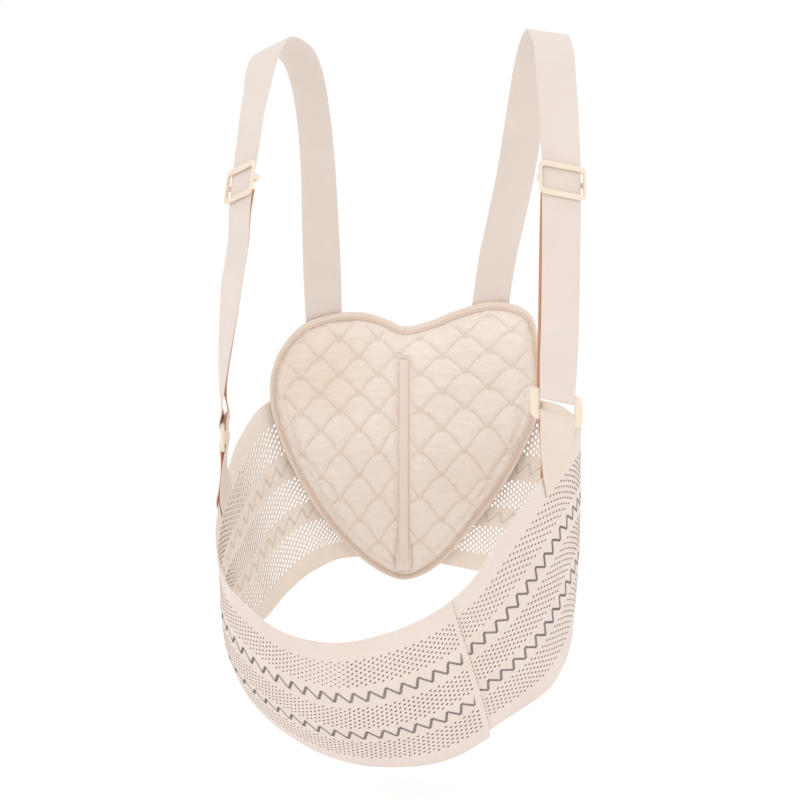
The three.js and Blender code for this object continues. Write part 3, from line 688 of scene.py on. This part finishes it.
def knot(column, row):
    x = middle_column + column * (left_pitch if column < 0 else right_pitch)
    z = knot_rows[row] + max(0.0, x - 35) * 0.16 * float(smooth_step(-470, -380, knot_rows[row]))
    return np.array((x, z))


quilt_runs = []
for column in range(-8, 8):
    for row in range(len(knot_rows) - 1):
        if (column + row) % 2:
            continue
        top = knot(column, row)
        for side in (-1, 1):
            foot = knot(column + side, row + 1)
            run = foot - top
            t = np.linspace(0, 1, 29)
            normal = unit(np.array((-run[1], run[0])) * side)
            bulge = 3.4 * np.sin(math.pi * t**0.62) * (1 - 0.35 * t)
            quilt_runs.append(top + np.outer(t, run) + np.outer(bulge, normal))
        turn = np.linspace(0, 2 * math.pi, 15)
        quilt_runs.append(top + (0, 1.6) + 2.7 * np.stack([np.cos(turn), np.sin(turn)], 1))

quilt_tree = tree_of(np.concatenate(quilt_runs))
pad_normals = mesh_points(pad, "normal")
seam_shade = np.zeros(len(pad_points))
for index in np.nonzero(pad_normals[:, 1] < -0.35)[0]:
    x, y, z = pad_points[index]
    gap = rim_gap(x, z)[0]
    to_line = quilt_tree.find((x, 0, z))[2]
    puff = 1 - 0.55 * math.exp(-((to_line / 4.8) ** 2)) - 0.45 * math.exp(-((to_line / 2.2) ** 2))
    # Painted shade: a darkening in the grooves along the quilting seams, passed to the cotton as seam_shade
    seam_shade[index] = math.exp(-((to_line / 1.3) ** 2)) * smooth_step(3, 6, gap)
    beside_channel = smooth_step(6.5, 11, abs(x)) if -channel_low < z < -channel_top + 4 else 1.0
    hem_ridge = math.exp(-(((gap - 4.2) / 2.4) ** 2))
    hem_groove = math.exp(-(((gap - 8.6) / 1.2) ** 2))
    inside = smooth_step(6.0, 12, gap)
    side_hem = 1 - smooth_step(-345, -300, z)
    crease = noise.noise(Vector((x / 30, z / 7, 3.1))) + 0.6 * noise.noise(Vector((x / 12, z / 5, 8.4)))
    height = inside * beside_channel * (2.6 * puff - 0.9 + 1.1 * crease)
    height += (1 - inside) * 0.5 * crease
    height += side_hem * (1.3 * hem_ridge - 0.8 * hem_groove)
    height *= smooth_step(-1.0, 3.0, gap)
    pad_points[index] += pad_normals[index] * height
pad.data.vertices.foreach_set("co", (pad_points * MM).ravel())
pad.data.attributes.new("seam_shade", "FLOAT", "POINT").data.foreach_set("value", seam_shade)
pad.data.update()
only(pad)
bpy.ops.object.shade_smooth()
pad_cotton = cloth_material("pad_cotton", (0.86, 0.785, 0.715), (0.78, 0.66, 0.57), 0.0009, 0.0009, 0.00005,
                            from_object=True)

# Fine crosswise crumples, painted shade along the quilting seams and a warmer spot at the left, for the pad's
# cotton alone
cotton_tree = pad_cotton.node_tree
cotton_shader = cotton_tree.nodes["Principled BSDF"]
weave_relief = cotton_shader.inputs["Normal"].links[0].from_socket
weave_colour = cotton_shader.inputs["Base Color"].links[0].from_socket
cotton_place = object_place(cotton_tree)
crumple_place = node_in(cotton_tree, "ShaderNodeMapping", {"Vector": cotton_place, "Scale": (55, 55, 210)})
crumple = noise_in(cotton_tree, crumple_place.outputs["Vector"], 1, 4)
crumple_relief = node_in(cotton_tree, "ShaderNodeBump", {
    "Height": crumple, "Normal": weave_relief, "Distance": 0.0016,
})
warm_place = node_in(cotton_tree, "ShaderNodeMapping", {
    "Vector": cotton_place, "Location": (1.15, 0, 4.6), "Scale": (12.5, 0.1, 14),
})
warm_spot = node_in(cotton_tree, "ShaderNodeTexGradient", {"Vector": warm_place.outputs["Vector"]},
                    gradient_type="SPHERICAL")
warm_share = joined_math(cotton_tree, "MULTIPLY", warm_spot.outputs["Fac"], crumple)
warm_amount = joined_math(cotton_tree, "MULTIPLY", warm_share, 1.3)
warm_colour = colour_mix(cotton_tree, warm_amount, weave_colour, (0.84, 0.66, 0.52, 1))
# Painted shade: the cotton is tinted darker along the quilting seams, where the grooves lie in shade
seam_shade_input = node_in(cotton_tree, "ShaderNodeAttribute", attribute_name="seam_shade")
seam_shade_amount = joined_math(cotton_tree, "MULTIPLY", seam_shade_input.outputs["Fac"], 0.1)
feed(cotton_shader, {
    "Normal": crumple_relief.outputs["Normal"],
    "Base Color": colour_mix(cotton_tree, seam_shade_amount, warm_colour, (0.5, 0.31, 0.22, 1)),
})
pad.data.materials.append(pad_cotton)
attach(pad, "root")
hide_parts("back_pad")


def surface_finder(piece):
    tree = BVHTree.FromObject(piece, bpy.context.evaluated_depsgraph_get())

    def on_surface(x, z, height):
        places = np.empty((len(x), 3))
        for number, (px, pz) in enumerate(zip(x, z)):
            hit, normal, _, _ = tree.ray_cast(Vector((px * MM, -0.3, pz * MM)), Vector((0, 1, 0)))
            if hit is None:
                beside = Vector((px * MM, pad_back_at(px, pz) * MM - 0.01, pz * MM))
                hit, normal, _, _ = tree.find_nearest(beside)
            places[number] = np.array(hit) / MM + np.array(normal) * height
        return places

    return on_surface


def run_stitches(runs, pitch, long, wide, keep=lambda x, z: True, first=0.5):
    centres, directions, sizes = [], [], []
    for run in runs:
        length = run_lengths(run)
        for place in np.arange(pitch * first, length[-1], pitch):
            x, z = (np.interp(place, length, run[:, k]) for k in (0, 1))
            ahead = [np.interp(place + 0.3, length, run[:, k]) - np.interp(place - 0.3, length, run[:, k])
                     for k in (0, 1)]
            if keep(x, z):
                centres.append((x, z))
                directions.append(ahead)
                sizes.append((long, wide))
    return np.array(centres), unit(np.array(directions)), np.array(sizes)


def in_quilting(x, z):
    beside = abs(x) > 7.5 or not -channel_low < z < -channel_top + 2
    return beside and rim_gap(x, z)[0] > 3


on_pad = surface_finder(pad)
quilt_pitch = 2.8
quilt_stitches = stitch_boxes("quilt_stitches", 0.4, on_pad,
                              *run_stitches(quilt_runs, quilt_pitch, 1.5, 1.0, in_quilting))
needle_holes = stitch_boxes("needle_holes", 0.15, on_pad,
                            *run_stitches(quilt_runs, quilt_pitch, 1.1, 1.05, in_quilting, 1.0))
stitch_pale = thread_material("stitch_pale", (0.88, 0.78, 0.7), (0.8, 0.68, 0.59))
stitch_soft = thread_material("stitch_soft", (0.72, 0.57, 0.47), (0.63, 0.47, 0.38))
stitch_tan = thread_material("stitch_tan", (0.62, 0.45, 0.36), (0.5, 0.34, 0.26))
for piece, material in ((quilt_stitches, stitch_pale), (needle_holes, stitch_soft)):
    piece.data.materials.append(material)
    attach(piece, "root")

# The binding: a ribbed tape folded over the heart's edge and sewn through with cover stitches.
# It is wide along the two lobes and narrow like a piping down the sides.
binding_count, binding_sides = 420, 28
line_row = np.linspace(0, len(heart_rows), binding_count, endpoint=False)
line, line_out, line_width = heart_at(line_row)
turn = np.linspace(0, 2 * math.pi, binding_sides, endpoint=False)


def squared(value):
    return np.sign(value) * np.abs(value) ** 0.6


inward = line_width[:, None] / 2 * (1 - squared(np.cos(turn)))
tape_x = line[:, :1] - line_out[:, :1] * inward
tape_z = line[:, 1:] - line_out[:, 1:] * inward
share = inward / line_width[:, None]
front_side = np.clip(-np.sin(turn), 0, 1)
fold = np.exp(-(((share - 0.42) / 0.07) ** 2)) * front_side
lip = np.exp(-(((share - 0.7) / 0.2) ** 2)) * front_side
ripple = np.array([noise.noise(Vector((row * 1.7, 0.5, 2.0))) for row in line_row])[:, None]
tape_y = pad_back_at(tape_x, tape_z) - binding_wall / 2 + squared(np.sin(turn)) * binding_wall / 2
tape_y += 0.75 * fold - 0.35 * lip + 0.35 * ripple * front_side
binding_points = np.stack([tape_x, tape_y, tape_z], -1).reshape(-1, 3) * MM
binding_faces = grid_faces(binding_count, binding_sides, True, True)
binding_length = run_lengths(line)
binding_uv = np.stack(np.broadcast_arrays(binding_length[:, None] * MM, turn * 0.004), -1).reshape(-1, 2)
binding = piece_from("edge_binding", binding_points, binding_faces, binding_uv)
settle(binding)
binding_tape = cloth_material("binding_tape", (0.83, 0.71, 0.62), (0.7, 0.55, 0.45), 0.0013, 0.0012, 0.00016)
binding.data.materials.append(binding_tape)
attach(binding, "root")
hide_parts("pad_binding")

tape_runs = []
dense_row = np.linspace(0, len(heart_rows), 1200)
dense_line, dense_out, dense_width = heart_at(dense_row)
for seam_share in (0.6, 0.84):
    tape_runs.append(dense_line - dense_out * (dense_width * seam_share)[:, None])
tape_stitches = stitch_boxes("tape_stitches", 0.35, surface_finder(binding),
                             *run_stitches(tape_runs, 2.6, 1.4, 0.9))
tape_stitches.data.materials.append(stitch_tan)
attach(tape_stitches, "root")

# The bone channel: a narrow tape sewn down the middle of the pad over its stay.
# Its lower end is tucked into the binding and stands out in a soft pleated bulge.
channel_steps, channel_parts = 120, 14
t, share = np.meshgrid(np.linspace(0, 1, channel_steps + 1), np.linspace(-1, 1, channel_parts + 1),
                       indexing="ij")
channel_z = -(channel_top + (channel_low - channel_top) * t)
bulge = smooth_step(0.86, 0.92, t) * (1 - 0.5 * smooth_step(0.97, 1, t))
channel_x = share * (channel_half + 2.4 * bulge)
dome = 1.9 * (1 - 0.75 * share**2 - 0.25 * share**8)
dome += bulge * (3.2 + 0.7 * np.cos(share * 9)) * (1 - share**4)
seat = pad_back_at(0, channel_z) - pad_wall + 0.3
channel_y = seat - dome - 0.6 * (1 - np.abs(share) ** 12)
channel_points = np.stack([channel_x, channel_y, channel_z], -1).reshape(-1, 3) * MM
channel_faces = grid_faces(channel_steps + 1, channel_parts + 1, False, False)
channel_uv = np.stack([channel_z * MM, channel_x * MM], -1).reshape(-1, 2)
channel = piece_from("bone_tape", channel_points, channel_faces, channel_uv)
only(channel)
wall = channel.modifiers.new("wall", "SOLIDIFY")
wall.thickness = 0.0008
wall.offset = 0
bpy.ops.object.modifier_apply(modifier="wall")
settle(channel)
channel_tape = cloth_material("channel_tape", (0.82, 0.715, 0.635), (0.74, 0.615, 0.525),
                              0.0011, 0.0014, 0.00008)
channel.data.materials.append(channel_tape)
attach(channel, "root")
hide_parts("bone_channel")

channel_runs = [np.stack([np.full(90, side * 5.3), -np.linspace(channel_top + 2, channel_low - 12, 90)], 1)
                for side in (-1, 1)]
channel_stitches = stitch_boxes("channel_stitches", 0.35, surface_finder(channel),
                                *run_stitches(channel_runs, 2.2, 1.3, 0.5))
channel_stitches.data.materials.append(stitch_tan)
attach(channel_stitches, "root")

# The shoulder straps: soft elastic webbing from behind the pad over the shoulder to the ring.
# Each folds round the ring's upper bar and runs back up behind itself to the slider.
strap_width, web_wall, shoulder_half, shoulder_depth = 40, 1.6, 140, 120
ring_width, ring_height, ring_bar, ring_wall = 60, 33, 9, 4
slider_row, return_row, return_gap, clearance, strap_seat = 13, 13.35, 1.2, 0.4, 1
strap_parts, lead_stations, bend_stations, return_stations, finer_by = 20, 67, 7, 15, 5
fold_radius = ring_wall / 2 + clearance + web_wall / 2
fold_spacing = ring_height - 2 * ring_bar + ring_wall

# side, fore, drop, yaw and rise of each section; no fore where the strap lies on the pad's back
strap_rows_left = [
    (-0.6, None, 0.9, -18, 0.0), (-0.61, None, 0.76, -18, 0.0), (-0.62, -0.92, 0.64, -5, 0.0),
    (-0.635, -0.95, 0.47, 15, 0.0), (-0.65, -0.89, 0.3, 24, 0.0), (-0.685, -0.77, 0.15, 27, 0.0),
    (-0.735, -0.58, 0.05, 24, 0.05), (-0.81, -0.33, 0.0, 15, 0.2), (-0.93, -0.07, -0.01, 8, 0.5),
    (-0.985, 0.18, 0.032, 25, 0.4), (-1.015, 0.38, 0.1, 42, 0.3), (-1.045, 0.62, 0.18, 50, 0.25),
    (-1.07, 0.79, 0.265, 52, 0.18), (-1.095, 0.88, 0.335, 54, 0.18), (-1.115, 0.91, 0.405, 56, 0.18),
    (-1.13, 0.88, 0.485, 58, 0.2), (-1.175, 0.77, 0.575, 61, 0.2), (-1.225, 0.58, 0.67, 65, 0.25),
    (-1.31, 0.2, 0.885, 77, 0.35), (-1.33, 0.03, 1.01, 89, 0.3),
]
strap_rows_right = [
    (0.61, None, 0.86, 18, 0.0), (0.66, None, 0.72, 18, 0.0), (0.71, -0.91, 0.59, 14, 0.0),
    (0.78, -0.95, 0.47, 14, 0.0), (0.85, -0.9, 0.33, 15, 0.0), (0.905, -0.77, 0.175, 15, 0.0),
    (0.95, -0.57, 0.045, 16, 0.0), (0.985, -0.32, -0.022, 8, -0.08), (1.015, -0.07, -0.045, 0, -0.15),
    (1.045, 0.17, -0.005, -8, -0.1), (1.05, 0.34, 0.05, -12, -0.08), (1.057, 0.62, 0.16, -15, -0.12),
    (1.062, 0.82, 0.275, -18, -0.1), (1.062, 0.89, 0.33, -20, -0.09), (1.062, 0.94, 0.385, -20, -0.07),
    (1.062, 0.975, 0.52, -21, -0.05), (1.065, 0.92, 0.71, -22, -0.1), (1.065, 0.82, 0.83, -23, -0.22),
    (1.065, 0.79, 0.898, -24, -0.32),
]


def strap_course(rows):
    places = []
    for side, fore, drop, _, _ in rows:
        x, z = side * shoulder_half, -drop * waist_drop
        y = pad_back_at(x, z) + strap_seat + web_wall / 2 if fore is None else -fore * shoulder_depth
        places.append((x, y, z))
    middle = smooth_course(places, False)
    turns = smooth_course([(row[3], row[4] * 100, 0) for row in rows], False)
    last = len(rows) - 1

    def at(row):
        row = np.asarray(row, float)
        place = middle(row)
        along = unit(middle(np.minimum(row + 0.1, last)) - middle(np.maximum(row - 0.1, 0)))
        turned = turns(row)
        angle = np.radians(turned[..., 0])
        width = np.stack([np.cos(angle), -np.sin(angle), np.zeros_like(angle)], -1)
        width = unit(width - along * (width * along).sum(-1, keepdims=True))
        width[..., 2] += turned[..., 1] / 100
        width = unit(width)
        return place, width, along, unit(np.cross(along, width))

    return at


def ribbon(name, places, widths, fold_start):
    along = np.gradient(places, axis=0)
    normals = unit(np.cross(widths, along))
    side_share = np.linspace(-1, 1, strap_parts + 1)
    selvedge = 1 - 0.35 * np.exp(-(((np.abs(side_share) - 0.86) / 0.035) ** 2))
    half_wall = web_wall / 2 * selvedge * np.where(np.abs(side_share) > 0.999, 0.55, 1)
    reach = np.concatenate([side_share, side_share[::-1]]) * strap_width / 2
    lift = np.concatenate([half_wall, -half_wall[::-1]])
    points = places[:, None] + widths[:, None] * reach[None, :, None] + normals[:, None] * lift[None, :, None]
    count, sides = points.shape[:2]
    faces = grid_faces(count, sides, False, True)
    faces += [range(sides), range(count * sides - 1, (count - 1) * sides - 1, -1)]
    length = run_lengths(places)
    uv = np.stack(np.broadcast_arrays(length[:, None] * MM, reach[None] * MM), -1).reshape(-1, 2)
    # Behind the fold, the side that lies against the front ply takes a painted shade and a painted glow, for
    # the narrow slot between the plies
    painted_shade_from = length[fold_start] + 12
    slots = [
        int(length[i] > painted_shade_from and not strap_parts < j < sides - 1)
        for i in range(count - 1) for j in range(sides)
    ]
    piece = piece_from(name, points.reshape(-1, 3) * MM, faces, uv, slots + [0, 0])
    settle(piece)
    return piece, length


def harness(side_name, rows, tab_span, tab_offset, return_shift, snug):
    last = len(rows) - 1
    course = strap_course(rows)
    end_place, end_width = (v[0] for v in course([last])[:2])
    held = band_point((tab_span[0] + tab_span[1]) / 2, 0, tab_offset)
    hang = unit(held - end_place)
    end_out = unit(np.cross(hang, end_width))
    bar_top = end_place - end_out * fold_radius
    bar_low = bar_top + hang * fold_spacing
    lead = last
    while np.linalg.norm(course([lead])[0][0] - end_place) < 2 * ring_bar:
        lead -= 0.02
    place, width, _, _ = course(np.linspace(0, 1, lead_stations) * lead)
    places, widths = [place], [width]
    places.append(np.array([end_place - hang * ring_bar, end_place]))
    widths.append(np.array([end_width, end_width]))
    angle = math.pi * np.linspace(0, 1, bend_stations)[1:]
    places.append(bar_top + np.outer(np.cos(angle), end_out) * fold_radius
                  + np.outer(np.sin(angle), hang) * fold_radius)
    widths.append(np.tile(end_width, (len(angle), 1)))
    places.append(np.array([end_place - end_out * 2 * fold_radius - hang * ring_bar]))
    widths.append(np.array([end_width]))
    t = np.linspace(0, 1, return_stations)
    place, width, _, out = course(lead + (return_row - lead) * t)
    loose_spread = 2 * fold_radius + (web_wall + return_gap - 2 * fold_radius) * t
    snug_gap = 0.2
    closest = web_wall + snug_gap
    snug_spread = closest + (2 * fold_radius - closest) * (1 - smooth_step(0, 0.12, t))
    snug_spread += (return_gap - snug_gap) * smooth_step(0.8, 1, t)
    spread = loose_spread + (snug_spread - loose_spread) * snug
    shift = return_shift * np.sin(math.pi * t)
    places.append(place - out * spread[:, None] + width * shift[:, None])
    widths.append(width)
    places, widths = np.concatenate(places), np.concatenate(widths)
    stations = smooth_course(np.concatenate([places, widths * 5], 1), False)
    fine = stations(np.linspace(0, len(places) - 1, finer_by * (len(places) - 1) + 1))
    # The fold begins after the leading stations and the two at the bar
    return dict(side=side_name, course=course, end_width=end_width, end_out=end_out, hang=hang,
                bar_top=bar_top, bar_low=bar_low, places=fine[:, :3], widths=unit(fine[:, 3:]),
                tab_span=tab_span, tab_offset=tab_offset, fold_start=finer_by * (lead_stations + 2))


left = harness("left", strap_rows_left, (4.1, 5.0), 0, -3, 1)
right = harness("right", strap_rows_right, (15.5, 17.0), inner_layer, -1, 0)
strap_web = cloth_material("strap_web", (0.74, 0.65, 0.59), (0.665, 0.57, 0.51), 0.0011, 0.0016, 0.00005)
# Painted shade and painted light: the side in the narrow slot between two plies is a dark orange-brown for
# the shade there, and it glows a little for the light that comes through them
ply_gap_shade_glow = cloth_material("ply_gap_shade_glow", (0.52, 0.29, 0.18), (0.46, 0.22, 0.125),
                            0.0011, 0.0016, 0.00005, glow=0.35)
for side in (left, right):
    strap, length = ribbon("strap_web_" + side["side"], side["places"], side["widths"], side["fold_start"])
    strap.data.materials.append(strap_web)
    strap.data.materials.append(ply_gap_shade_glow)
    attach(strap, "root")
    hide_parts("strap_" + side["side"])

# The tabs: short lengths of cross-ribbed webbing that hold the rings on the belt's upper edge.
# Each hugs the ring's lower bar and is stitched to both faces of the knit.
tab_parts, tab_hold, tab_rise = 5, 0.1, 0.012
tab_long, tab_wide, rib_high, rib_pitch = 321, 13, 0.09, 1.9


def across(centre, width):
    share = np.linspace(-0.5, 0.5, tab_parts + 1)[:, None]
    return centre + width * share * strap_width


tab_web = cloth_material("tab_web", (0.79, 0.68, 0.6), (0.66, 0.53, 0.44),
                         0.0017, 0.0021, 0.00007, loose_by=0.12)
for side in (left, right):
    apart = 1 + clearance + web_wall / 2
    span = np.linspace(*side["tab_span"], tab_parts + 1)

    def hold(share, face):
        return band_point(span, share, side["tab_offset"] + face * apart)

    def beside_low(face):
        return across(side["bar_low"] + side["end_out"] * face * fold_radius + side["hang"] * ring_bar,
                      side["end_width"])

    middle_low = (beside_low(1) + beside_low(-1)) / 2
    middle_top = (hold(-tab_rise, 1) + hold(-tab_rise, -1)) / 2
    out_top = unit(hold(-tab_rise, 1) - hold(-tab_rise, -1))

    def pressed(way, face):
        out = unit(side["end_out"] * (1 - way) + out_top * way)
        return middle_low + (middle_top - middle_low) * way + out * face * (web_wall / 2 + 0.1)

    def one_face(face):
        held = [hold(share, face) for share in (tab_hold, tab_hold / 2, -tab_rise)]
        return held + [pressed(0.75, face), pressed(0.3, face)]

    stations = one_face(1)
    for angle in np.linspace(0, math.pi, 9):
        stations.append(across(side["bar_low"] + side["end_out"] * fold_radius * math.cos(angle)
                               - side["hang"] * fold_radius * math.sin(angle), side["end_width"]))
    stations = np.array(stations + one_face(-1)[::-1])
    course = smooth_course(stations.reshape(len(stations), -1), False)
    fine = course(np.linspace(0, len(stations) - 1, tab_long)).reshape(tab_long, tab_parts + 1, 3)
    across_course = smooth_course(fine.transpose(1, 0, 2).reshape(tab_parts + 1, -1), False)
    fine = across_course(np.linspace(0, tab_parts, tab_wide))
    fine = fine.reshape(tab_wide, tab_long, 3).transpose(1, 0, 2)
    wide = np.gradient(fine, axis=1)
    ahead = np.gradient(fine, axis=0)
    normals = unit(np.cross(wide, ahead))
    length = run_lengths(fine[:, tab_wide // 2])
    rib = rib_high * np.sin(length * 2 * math.pi / rib_pitch)[:, None, None]
    half = web_wall / 2 + rib
    taper = np.where(np.abs(np.linspace(-1, 1, tab_wide)) > 0.99, 0.5, 1)[None, :, None]
    sheet_points = np.concatenate([fine + normals * half * taper, fine - normals * half * taper])
    at = np.arange(tab_long * tab_wide).reshape(tab_long, tab_wide)
    under = at + at.size
    faces, slots = [], []
    # The tab's inward faces take the same painted shade and glow as the strap's return ply
    inside = int(np.dot(normals[0, 0], out_top[0]) < 0)
    for i in range(tab_long - 1):
        for j in range(tab_wide - 1):
            faces.append([at[i, j], at[i, j + 1], at[i + 1, j + 1], at[i + 1, j]])
            faces.append([under[i, j], under[i + 1, j], under[i + 1, j + 1], under[i, j + 1]])
            slots += [inside, 1 - inside]
        faces.append([at[i, 0], at[i + 1, 0], under[i + 1, 0], under[i, 0]])
        faces.append([at[i, -1], under[i, -1], under[i + 1, -1], at[i + 1, -1]])
        slots += [0, 0]
    for j in range(tab_wide - 1):
        faces.append([at[0, j], under[0, j], under[0, j + 1], at[0, j + 1]])
        faces.append([at[-1, j], at[-1, j + 1], under[-1, j + 1], under[-1, j]])
        slots += [0, 0]
    across_mm = np.linspace(-strap_width / 2, strap_width / 2, tab_wide)
    uv = np.stack(np.broadcast_arrays(length[:, None] * MM, across_mm[None] * MM), -1).reshape(-1, 2)
    tab = piece_from("tab_web_" + side["side"], sheet_points.reshape(-1, 3) * MM, faces,
                     np.concatenate([uv, uv]), slots)
    settle(tab)
    tab.data.materials.append(tab_web)
    tab.data.materials.append(ply_gap_shade_glow)
    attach(tab, "root")
    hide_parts("tab_" + side["side"])

# The plastic rings and sliders: glossy cream mouldings with soft edges.
# A ring joins strap and tab; a slider is a frame in front of the strap with a bar behind it.
slider_high, slider_bar, slider_side, slider_slack, slider_wall = 33, 5.5, 2.4, 1.7, 3.4
centre_bar, centre_wall = 5, 3
plastic = bpy.data.materials.new("cream_plastic")
plastic.use_nodes = True
plastic_tree = plastic.node_tree
plastic_haze = noise_in(plastic_tree, object_place(plastic_tree), 60, 3)
plastic_relief = node_in(plastic_tree, "ShaderNodeBump", {
    "Height": plastic_haze, "Distance": 0.00008, "Strength": 0.5,
})
feed(plastic_tree.nodes["Principled BSDF"], {
    "Base Color": colour_mix(plastic_tree, plastic_haze, (0.76, 0.62, 0.49, 1), (0.84, 0.72, 0.59, 1)),
    "Roughness": joined_math(plastic_tree, "MULTIPLY_ADD", plastic_haze, 0.15, 0.25),
    "Normal": plastic_relief.outputs["Normal"],
})


def choose_faces(piece, wanted):
    bpy.ops.object.mode_set(mode="EDIT")
    bpy.ops.mesh.select_all(action="DESELECT")
    bpy.ops.object.mode_set(mode="OBJECT")
    for face in piece.data.polygons:
        face.select = wanted(face)
    bpy.ops.object.mode_set(mode="EDIT")
    bpy.ops.mesh.select_mode(type="FACE")


def choose_edges(piece, wanted):
    bpy.ops.object.mode_set(mode="EDIT")
    bpy.ops.mesh.select_mode(type="EDGE")
    bpy.ops.mesh.select_all(action="DESELECT")
    bpy.ops.object.mode_set(mode="OBJECT")
    for edge in piece.data.edges:
        a, b = (piece.data.vertices[v].co for v in edge.vertices)
        edge.select = wanted(a, b)
    bpy.ops.object.mode_set(mode="EDIT")


def block(size, centre=(0, 0, 0)):
    bpy.ops.object.select_all(action="DESELECT")
    bpy.ops.mesh.primitive_cube_add(size=1)
    piece = bpy.context.active_object
    piece.scale = Vector(size) * MM
    bpy.ops.object.transform_apply(location=False, rotation=False, scale=True)
    piece.data.transform(Matrix.Translation(Vector(centre) * MM))
    return piece


def soften(piece, width, segments):
    only(piece)
    soft = piece.modifiers.new("soft_edges", "BEVEL")
    soft.width = width * MM
    soft.segments = segments
    soft.limit_method = "ANGLE"
    soft.angle_limit = math.radians(50)
    bpy.ops.object.modifier_apply(modifier="soft_edges")


def moulded_frame(name, wide, high, deep, corner, bar, side, soft):
    piece = block((wide, high, deep))
    piece.name = name
    choose_edges(piece, lambda a, b: abs(a.z - b.z) > deep / 2 * MM)
    bpy.ops.mesh.bevel(offset=corner * MM, segments=6, affect="EDGES")
    bpy.ops.object.mode_set(mode="OBJECT")
    choose_faces(piece, lambda face: abs(face.normal.z) > 0.9)
    first_inset = 1.2
    bpy.ops.mesh.inset(thickness=first_inset * MM, depth=0)
    bpy.ops.transform.resize(value=((wide / 2 - side) / (wide / 2 - first_inset),
                                    (high / 2 - bar) / (high / 2 - first_inset), 1))
    bpy.ops.mesh.bridge_edge_loops()
    bpy.ops.object.mode_set(mode="OBJECT")
    soften(piece, soft, 4)
    return piece


def put(piece, width, back, out, place):
    piece.data.transform(Matrix((
        (width[0], back[0], out[0], place[0] * MM), (width[1], back[1], out[1], place[1] * MM),
        (width[2], back[2], out[2], place[2] * MM), (0, 0, 0, 1))))
    settle(piece)
    only(piece)
    bpy.ops.object.shade_smooth_by_angle(angle=math.radians(50))


for side in (left, right):
    ring = moulded_frame("plastic_ring_" + side["side"], ring_width, ring_height, ring_wall,
                         8.0, ring_bar, ring_bar, 1.8)
    ring_place = side["bar_top"] + side["hang"] * fold_spacing / 2
    put(ring, side["end_width"], -side["hang"], side["end_out"], ring_place)
    ring.data.materials.append(plastic)
    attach(ring, "root")
    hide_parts("ring_" + side["side"])

    inner_wide = strap_width + 2 * slider_slack
    lift = web_wall / 2 + clearance
    slider = moulded_frame("plastic_slider_" + side["side"], inner_wide + 2 * slider_side, slider_high,
                           slider_wall, 5.5, slider_bar, slider_side, 0.9)
    slider.data.transform(Matrix.Translation((0, 0, (lift + slider_wall / 2) * MM)))
    cheek_deep = 2 * lift + centre_wall + slider_wall / 2
    cheek_size = (0.8 * slider_side, 1.1 * centre_bar, cheek_deep)
    cheek_aside, cheek_lift = (inner_wide + slider_side) / 2, lift + slider_wall / 2 - cheek_deep / 2
    behind = [
        block((inner_wide + 1.6 * slider_side, centre_bar, centre_wall), (0, 0, -(lift + centre_wall / 2))),
        block(cheek_size, (-cheek_aside, 0, cheek_lift)),
        block(cheek_size, (cheek_aside, 0, cheek_lift)),
    ]
    for piece in behind:
        soften(piece, 0.6, 3)
    only(slider)
    for piece in behind:
        piece.select_set(True)
    bpy.ops.object.join()
    place, width, along, out = (v[0] for v in side["course"]([slider_row]))
    put(slider, width, -along, out, place)
    slider.data.materials.clear()
    slider.data.materials.append(plastic)
    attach(slider, "root")
    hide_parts("slider_" + side["side"])
